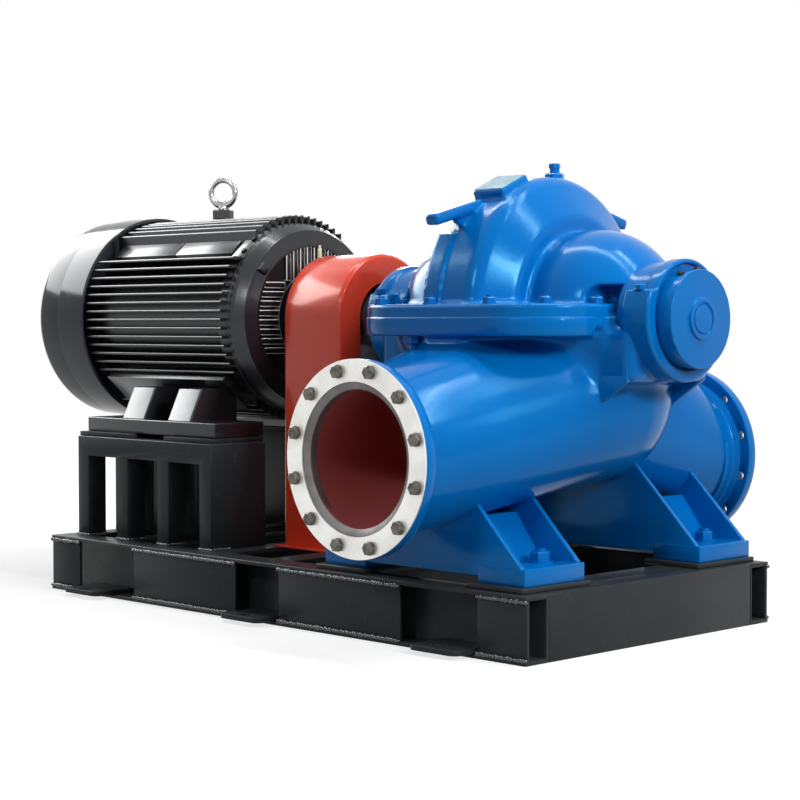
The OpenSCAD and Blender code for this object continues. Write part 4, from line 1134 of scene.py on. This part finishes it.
def makeMotorFrame(m):
    bm = bmesh.new()
    length, band = m["front"] - m["rear"], m["front"] - m["rear"] - m["bandL"]
    outline = [(0, 0), (m["barrelR"] - 6, 0), (m["barrelR"], 6), (m["barrelR"], band - 10), (m["bandR"], band),
               (m["bandR"], length), (0, length)]
    lathe(bm, roundOff(outline, [0, 0, 0, 6, 8, 5, 0], 6), onShaftLine(m["rear"]), 144)
    addShape("motorBarrel", bm, 40, blackCoat, "motor_frame")
    fins = {"pitch": m["pitch"], "thickness": m["thick"], "reach": m["reach"] - m["thick"] / 2, "root": m["root"],
            "start": m["rear"] + 1, "length": length - m["finEnd"] - 1,
            "sides": [(turn, m["finCount"], rise)
                      for turn, rise in ((0, m["rise"]), (180, m["rise"]), (-90, 0), (90, 0))]}
    setFins("motorFins", fins, blackCoat)
    # flat pads on the shoulders in two lengths, end plates before them, and seats for the feet below
    bm = bmesh.new()
    screws, axes = [], []
    pads = ((m["rear"] + m["padFrom"], m["padSplit"] - m["padGap"]),
            (m["padSplit"] + m["padGap"], m["front"] - m["padTo"]))
    plates = ((m["front"] - m["plateFrom"], m["front"] + m["plateTo"]),)
    seats = ((m["rear"] + m["seatFrom"], m["front"] - m["seatTo"]),)
    for side in (-1, 1):
        above, below = spokes(m["padAngle"], side), spokes(-m["padAngle"], side)
        out, across = above
        for directions, r, half, spans in ((above, m["padR"], m["padHalf"], pads),
                                           (above, m["padR"], m["plateHalf"], plates),
                                           (below, m["seatR"], m["seatHalf"], seats)):
            for start, end in spans:
                spokeBlock(bm, directions, (m["padRoot"], r), half, start, end)
            # the end plate's screws come twice in one place, with the pads and with the plates
            if directions is above:
                for w in (-m["screwApart"], m["screwApart"]):
                    spot = out * r + across * w
                    screws.append((m["front"] - m["screwAt"], spot.x, shaftZ + spot.y))
                    axes.append((0, out.x, out.y))
    soften(bm, m["edge"], 2, 40)
    addShape("motorPads", bm, 40, blackCoat)
    setBolts("motorPadScrews", screws, axes, m["screw"], (darkBolt, "motor_paint"), washer=1.2, tall=0.7)


makeMotorFrame(motor)

# motor's end shield with its cap, ribs, lugs and grease pipe
shield = {
    "start": motorFront, "rearR": 259, "rimR": 238, "rimL": 46, "lipR": 200, "length": 55, "recess": 13,
    "innerR": 193, "hubR": 124, "capR": 96, "capL": 26, "capBore": 41, "ribPitch": 25, "ribT": 17, "ribCount": 8,
    "ribRoot": 100, "ribShort": 3, "ribSink": 4, "ribMore": 2, "ribEdge": 2.0,
    "lugTurns": (144, 36), "lugDepths": (206, 234), "lugHalf": 11, "lugFrom": 30, "lugTo": 60, "lugEdge": 3,
    "pipeX": 4, "pipeY": 18, "pipeLine": ((0, 90), (6.5, 90), (6.5, 186), (4, 188), (4, 197), (0, 198)),
    "pipeRound": (0, 1, 1, 1, 2, 0),
}


def makeShield(s):
    toPoint = onShaftLine(s["start"])
    length, sunk, cap, bore = s["length"], s["length"] - s["recess"], s["length"] + s["capL"], s["capBore"]
    bm = bmesh.new()
    outline = [(0, 0), (s["rearR"], 0), (s["rearR"] - 3, 16), (s["rimR"], s["rimL"]), (s["rimR"] - 6, s["rimL"] + 1),
               (s["lipR"], length - 1), (s["innerR"], length - 1), (s["innerR"] - 4, sunk), (s["hubR"] + 6, sunk),
               (s["hubR"], length), (s["capR"] - 4, length), (0, length)]
    lathe(bm, roundOff(outline, [0, 2, 40, 1.5, 1.5, 4, 2, 3, 6, 4, 0, 0], 6), toPoint, 144)
    addShape("driveEndShield", bm, 40, blackCoat, "drive_end_shield")
    bm = bmesh.new()
    outline = [(bore, length), (s["capR"], length), (s["capR"], cap), (56, cap), (52, cap - 5), (bore, cap - 5),
               (bore, length)]
    lathe(bm, roundOff(outline, [0, 0, 6, 2, 2, 0, 0]), toPoint)
    join(bm)
    addShape("motorBearingCap", bm, 40, blackCoat, "motor_bearing_cap")
    ribs = {"pitch": s["ribPitch"], "thickness": s["ribT"], "reach": s["innerR"] - s["ribShort"],
            "root": s["ribRoot"], "start": s["start"] + sunk - s["ribSink"], "length": s["recess"] + s["ribMore"],
            "sides": [(turn, s["ribCount"], 0) for turn in (0, 180, -90, 90)]}
    for piece in setFins("shieldRibs", ribs, blackCoat):
        bm = bmesh.new()
        bm.from_mesh(piece.data)
        soften(bm, s["ribEdge"], 2, 60)
        bm.to_mesh(piece.data)
        bm.free()
        smoothMesh(piece.data, 40)
    # lugs on the rim and the grease pipe over the hub
    bm = bmesh.new()
    for turn in s["lugTurns"]:
        spokeBlock(bm, spokes(turn), s["lugDepths"], s["lugHalf"], s["start"] + s["lugFrom"], s["start"] + s["lugTo"])
    soften(bm, s["lugEdge"], 2, 40)
    addShape("shieldLugs", bm, 40, blackCoat)
    bm = bmesh.new()
    pipeX = s["start"] + length + s["pipeX"]
    toPipe = lambda a, b, c: upZ(pipeX + a, s["pipeY"] + b, shaftZ + c)
    lathe(bm, roundOff(s["pipeLine"], s["pipeRound"], 3), toPipe, 20)
    addShape("greasePipe", bm, 35, (creamPaint, "face_paint"))


makeShield(shield)

# fan cowl, and its rear grille of rod rings on crossed bars
cowl = {
    "rear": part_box("fan_cowl")[0].x / mm, "front": motorRear, "r": 294, "step": 5, "rearL": 110, "round": 34,
    "roundSteps": 10, "wall": 8, "insideL": 40, "grilleR": 200, "grilleDepth": 14, "rings": 9, "ringFrom": 24,
    "ringSpan": 30, "rod": 3, "rodSides": 8, "rodX": 7, "bars": 8, "barFrom": 20, "barX": (9, 15),
}


def makeCowl(c):
    toPoint = onShaftLine(c["rear"])
    length, step, grille, rod = c["front"] - c["rear"], c["rearL"], c["grilleR"], c["rod"]
    r, rear, curve = c["r"], c["r"] - c["step"], c["round"]
    # the long rounding of the rear edge is a true quarter circle
    turns = [math.pi / 2 * k / c["roundSteps"] for k in range(c["roundSteps"] + 1)]
    arc = [(rear - curve + curve * math.sin(t), curve - curve * math.cos(t)) for t in turns]
    outline = [(0, c["grilleDepth"]), (grille, c["grilleDepth"]), (grille + 6, 2), (grille + 12, 0), *arc,
               (rear, step), (rear - 3, step + 1), (rear - 3, step + 4), (r - 1, step + 5), (r, step + 7),
               (r, length - 2), (r - 2.5, length), (r - c["wall"], length),
               (r - c["wall"], length - c["insideL"]), (0, length - c["insideL"])]
    radii = [0, 3, 4, 4] + [0] * len(arc) + [1] * 7 + [0] * 3
    bm = bmesh.new()
    lathe(bm, roundOff(outline, radii), toPoint, 160)
    addShape("fanCowl", bm, 40, (cowlPaint, "motor_paint"), "fan_cowl")
    bm = bmesh.new()
    for k in range(c["rings"]):
        ringR = c["ringFrom"] + (grille - c["ringSpan"]) * k / (c["rings"] - 1)
        line = [(ringR + rod * math.cos(t), c["rodX"] + rod * math.sin(t)) for t in turnsOf(c["rodSides"])]
        closeLoop(bm, line, toPoint, 64)
    for k in range(c["bars"]):
        start, end = (c["rear"] + x for x in c["barX"])
        spokeBlock(bm, spokes(360 / c["bars"] * k), (c["barFrom"], grille + rod), rod, start, end)
    addShape("cowlGrille", bm, 40, (cowlPaint, "motor_paint"))


makeCowl(cowl)

# lifting eye: bar ring on a collar, with a hexagon nut
eye = {"x": -673, "baseZ": 1035, "collarH": 26, "nut": 52, "nutSink": 2, "ringZ": 1109, "ringR": 36, "bar": 8.2,
       "thicken": 0.35, "turn": 30, "steps": 64, "around": 20}


def makeEye(e):
    bm = bmesh.new()
    rings = []
    for a in turnsOf(e["steps"]):
        # the bar thickens towards its foot
        bar = e["bar"] * (1 + e["thicken"] * max(0.0, -math.sin(a)) ** 3)
        ring = []
        for b in turnsOf(e["around"]):
            r = e["ringR"] + bar * math.cos(b)
            x, y = tilted(r * math.cos(a), bar * math.sin(b), -e["turn"])
            ring.append(bm.verts.new(upZ(e["x"] + x, y, e["ringZ"] + r * math.sin(a))))
        rings.append(ring)
    skin(bm, rings + rings[:1])
    toPoint = lambda a, b, length: upZ(e["x"] + a, b, e["baseZ"] + length)
    h = e["collarH"]
    outline = [(0, 0), (20, 0), (20, h + 2), (15, h + 6), (11, h + 13), (0, h + 15)]
    lathe(bm, roundOff(outline, [0, 1, 2, 3, 3, 0], 4), toPoint, 48)
    addShape("liftingEye", bm, 45, (chromeSteel, "bright_steel"), "lifting_eye")
    setBolts("liftingEyeNut", [(e["x"], 0, e["baseZ"] - e["nutSink"])], [(0, 0, 1)], e["nut"],
             (darkBolt, "bright_steel"), washer=1.0, tall=0.75)


makeEye(eye)
print("motor ready")

# coupling guard: one bent sheet with rounded ends, on two foot strips
guard = {
    "x0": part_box("coupling_guard")[0].x / mm, "x1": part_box("coupling_guard")[1].x / mm, "r": 167, "openR": 92,
    "round": 12, "roundSteps": 6, "sheet": 4, "sideSteps": 12, "archSteps": 40, "footW": 36, "footT": 6,
    "footInset": 6, "footEdge": 1.5,
}


def archLine(g, r):
    sides, steps, tall = g["sideSteps"], g["archSteps"], shaftZ - skidTop
    turns = [math.pi * k / steps for k in range(steps + 1)]
    points = [(-r, skidTop + tall * k / sides) for k in range(sides)]
    points += [(-r * math.cos(t), shaftZ + r * math.sin(t)) for t in turns]
    return points + [(r, shaftZ - tall * (k + 1) / sides) for k in range(sides)]


def makeGuard(g):
    half, middle = (g["x1"] - g["x0"]) / 2, (g["x1"] + g["x0"]) / 2
    arc = [math.pi / 2 * k / g["roundSteps"] for k in range(g["roundSteps"], -1, -1)]
    bm = bmesh.new()
    grids = []
    for inset in (0, g["sheet"]):
        radius, edge = g["round"] - inset, inset - half
        line = [(edge, g["r"] - g["openR"])]
        line += [(edge + radius * (1 - math.sin(t)), inset + radius * (1 - math.cos(t))) for t in arc]
        line += [(-x, i) for x, i in reversed(line)]
        grids.append([[bm.verts.new(upZ(middle + x, y, z)) for y, z in archLine(g, g["r"] - i)] for x, i in line])
    outer, inner = grids
    for grid in grids:
        skin(bm, grid, False)
    for end in (0, -1):
        skin(bm, [outer[end], inner[end]], False)
        skin(bm, [[row[end] for row in outer], [row[end] for row in inner]], False)
    addShape("couplingGuard", bm, 45, redCoat, "coupling_guard")
    bm = bmesh.new()
    inset = g["footInset"]
    for side in (-1, 1):
        box(bm, (g["x0"] + inset, g["x1"] - inset), (side * (g["r"] - inset), side * (g["r"] + g["footW"])),
            (skidTop, skidTop + g["footT"]))
    soften(bm, g["footEdge"])
    addShape("guardFeet", bm, 40, redCoat)


makeGuard(guard)

# rolled and welded steel with softened edges: the nodes, and the width of the edge
softSteel = {
    "skidSideBeams": (("near_side_beam", "far_side_beam"), 2.2),
    "skidEndBeams": (("pump_end_beam", "motor_end_beam"), 2.2),
    "skidCrossBeams": (("middle_cross_beam", "motor_cross_beams", "pump_cross_beams"), 2.0),
    "skidCoverPlates": (("near_cover_plates", "far_cover_plates"), 1.4),
    "anchorTabs": (("near_anchor_tabs", "far_anchor_tabs"), 1.5),
    "pumpPads": (("pump_pads",), 2.0),
    "motorPedestals": (("near_pedestal", "far_pedestal"), 2.4),
}
for name, (nodeNames, width) in softSteel.items():
    softCopy(name, nodeNames, width, skidCoat)

packers = {"spans": ((-852, -622), (-476, -280)), "y": (190, 372), "z": (425, 437), "edge": 1.6}
bm = bmesh.new()
for span in packers["spans"]:
    for side in (-1, 1):
        box(bm, span, [side * y for y in packers["y"]], packers["z"])
soften(bm, packers["edge"])
addShape("motorPackers", bm, 40, skidCoat, "motor_packers")

# welds round the cover plates and at the pedestals' legs
welds = {
    "spans": ((-880, -752), (-510, -92), (72, 492), (734, 880)), "inset": 3, "y": 448.5, "heights": (12, 138),
    "pitch": 8, "size": 6.4, "seed": 7, "legs": 4, "legW": 48, "legPitch": 178, "legDepth": 60, "legUp": 1,
    "legShare": 0.9,
}


def makeWelds(w):
    coat = (weldPaint, "skid_paint")
    paths = [[(x, side * w["y"], z) for x in (x0 + w["inset"], x1 - w["inset"])]
             for side in (-1, 1) for x0, x1 in w["spans"] for z in w["heights"]]
    runWeld("coverPlateWelds", paths, w["pitch"], w["size"], w["seed"], coat)
    paths = []
    for node, side in (("near_pedestal", -1), ("far_pedestal", 1)):
        low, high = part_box(node)
        front = (low.y if side < 0 else high.y) / mm
        back, z = front - side * w["legDepth"], low.z / mm + w["legUp"]
        for k in range(w["legs"]):
            x = low.x / mm + k * w["legPitch"]
            paths.append([(x, back, z), (x, front, z), (x + w["legW"], front, z), (x + w["legW"], back, z)])
    runWeld("pedestalWelds", paths, w["pitch"], w["size"] * w["legShare"], w["seed"] + 1, coat)


makeWelds(welds)
softCopy("motorFeet", ("near_motor_foot", "far_motor_foot"), 3.5, blackCoat, 3)
softCopy("terminalBox", ("terminal_box",), 4.0, blackCoat, 3)
print("guard and skid ready")

# bolts of the pump: sizes across flats, and where they stand
bolting = {
    "suction": 28, "suctionY": -616, "split": 26, "splitUp": 30, "under": 34, "underX": -108, "underY": 322,
    "underDown": 44, "foot": 42, "footX": 246, "footY": (-273, 340), "cap": 22, "capX": 414, "capY": 128,
    "cover": 14, "coverX": 464, "coverTurns": (116, 84),
    "splitAt": ((-219, 318), (-44, 330), (138, 326), (262, 276), (-262, 276), (306, 150), (-306, 150)),
}


def makeBolts(b):
    up, ends = [(0, 0, 1)], (-1, 1)
    circle = [(nozzles["pcd"] / 2 * math.cos(t), nozzles["pcd"] / 2 * math.sin(t))
              for t in turnsOf(nozzles["count"], 0.5)]
    setBolts("suctionFlangeBolts", [(pumpX + x, b["suctionY"], nozzleZ + z) for x, z in circle], [(0, -1, 0)],
             b["suction"], (bronzeBolt, "gland_metal"), washer=0.95, tall=0.55)
    spots = [(pumpX + x, side * y, shaftZ + b["splitUp"]) for side in ends for x, y in b["splitAt"]]
    setBolts("splitFlangeBolts", spots, up, b["split"], blueCoat, stud=6)
    spots = [(pumpX + b["underX"], side * b["underY"], shaftZ - b["underDown"]) for side in ends]
    setBolts("splitFlangeNuts", spots, [(0, 0, -1)], b["under"], blueCoat, stud=12)
    spots = [(pumpX + end * b["footX"], y, feet["baseZ"] + feet["baseT"]) for end in ends for y in b["footY"]]
    setBolts("pumpFootBolts", spots, up, b["foot"], blueCoat, washer=1.2, stud=8)
    ledge = shaftZ + bearings["ledge"]
    spots = [(pumpX + end * b["capX"], side * b["capY"], ledge) for end in ends for side in ends]
    setBolts("bearingCapBolts", spots, up, b["cap"], blueCoat, washer=1.15)
    outs = [spokes(turn)[0] for turn in b["coverTurns"]]
    coverR, coverZ = bearings["coverR"], shaftZ - bearings["coverDrop"]
    spots = [(pumpX + b["coverX"], out.x * coverR, coverZ + out.y * coverR) for out in outs]
    setBolts("coverScrews", spots, [(0, out.x, out.y) for out in outs], b["cover"], (darkBolt, "pump_paint"),
             washer=1.1, tall=0.6)


makeBolts(bolting)
print("bolts ready")

# camera, floor and light
view = {
    "place": (3.6421, -3.5678, 0.7372), "azimuth": 45.25, "elevation": 2.25, "focalPixels": 1949.46,
    "imagePixels": 800, "sensor": 36.0, "clipEnd": 60.0,
}
cameraData = bpy.data.cameras.new("photoCamera")
cameraData.sensor_width = view["sensor"]
cameraData.lens = view["focalPixels"] / view["imagePixels"] * view["sensor"]
cameraData.clip_end = view["clipEnd"]
camera = linkNew("photoCamera", cameraData)
camera.location = view["place"]
camera.rotation_euler = (math.radians(90 - view["elevation"]), 0, math.radians(view["azimuth"]))
bpy.context.scene.camera = camera

studio = {
    "floorHalf": 14.0, "floorTone": tone(0.3, 0.3, 0.3), "floorLight": tone(0.33, 0.33, 0.33), "floorScale": 3.0,
    "floorDetail": 3.0, "floorGlow": 0.72, "whiteFrom": 1.2, "whiteTo": 2.6, "skyFill": 0.11, "white": tone(1, 1, 1),
    "lamps": (
        # name, place, aim, width, height, watts, lights matt surfaces too
        ("stripLamp", (2.7, 0.9, 4.4), (0.6, 0.9, 0.6), 0.15, 3.6, 85, True),
        ("roofLamp", (0.4, 0.0, 4.5), (0.3, 0.0, 0.6), 0.15, 6.8, 125, True),
        ("keyLamp", (5.0, -0.6, 2.6), (0.4, 0.0, 0.6), 1.0, 1.0, 150, True),
        ("frontLamp", (1.2, -4.6, 3.0), (0.3, 0.0, 0.6), 1.0, 0.8, 48, True),
        ("sideCard", (-4.6, -1.0, 3.2), (-0.6, -0.3, 0.8), 5.0, 2.2, 345, False),
        ("rearCard", (-3.2, 2.9, 2.2), (0.0, 0.0, 0.9), 1.4, 0.6, 34, False),
    ),
}


def seenBackdrop(f):
    # rays that look at the background: camera, mirror and glass rays
    path = f.tree.nodes.new("ShaderNodeLightPath")
    keys = ("Is Camera Ray", "Is Glossy Ray", "Is Transmission Ray")
    seen, glossy, glass = (Wire(f, path.outputs[key]) for key in keys)
    return seen.maths("MAXIMUM", seen.maths("MAXIMUM", seen, glossy), glass)


def makeFloor(s):
    f = Finish("paleFloor")
    shade = f.blend(f.noise(s["floorScale"], s["floorDetail"]), s["floorTone"], s["floorLight"])
    matt = f.add("ShaderNodeBsdfDiffuse", None, {"Color": shade})
    far = f.add("ShaderNodeVectorMath", {"operation": "LENGTH"}, {0: f.place()}, out=1)
    rise = f.add("ShaderNodeMapRange", {"clamp": True},
                 {0: far, 1: s["whiteFrom"], 2: s["whiteTo"], 3: s["floorGlow"], 4: 1.0})
    glow = f.add("ShaderNodeEmission", None, {"Color": s["white"], "Strength": seenBackdrop(f) * rise})
    both = f.add("ShaderNodeAddShader", None, {0: matt, 1: glow})
    f.add("ShaderNodeOutputMaterial", None, {"Surface": both})
    bm = bmesh.new()
    h = s["floorHalf"]
    bm.faces.new([bm.verts.new(p) for p in ((-h, -h, 0), (h, -h, 0), (h, h, 0), (-h, h, 0))])
    mesh = meshOf("studioFloor", bm)
    mesh.materials.append(f.material)
    floor = linkNew("studioFloor", mesh)


makeFloor(studio)
world = bpy.data.worlds.new("studioWorld")
bpy.context.scene.world = world
world.use_nodes = True
sky = NodeKit(world.node_tree)
seen = seenBackdrop(sky)
strength = seen + (1 - seen) * studio["skyFill"]
backdrop = sky.add("ShaderNodeBackground", None, {"Color": studio["white"], "Strength": strength})
sky.add("ShaderNodeOutputWorld", None, {"Surface": backdrop})

for name, place, aim, width, height, watts, matt in studio["lamps"]:
    lamp = bpy.data.lights.new(name, "AREA")
    lamp.shape = "RECTANGLE"
    lamp.size, lamp.size_y, lamp.energy = width, height, watts
    holder = linkNew(name, lamp)
    holder.location = place
    holder.rotation_euler = (Vector(aim) - Vector(place)).to_track_quat("-Z", "Y").to_euler()
    holder.visible_diffuse = matt

bpy.context.scene.view_settings.view_transform = "Standard"
print("camera, floor and light ready")
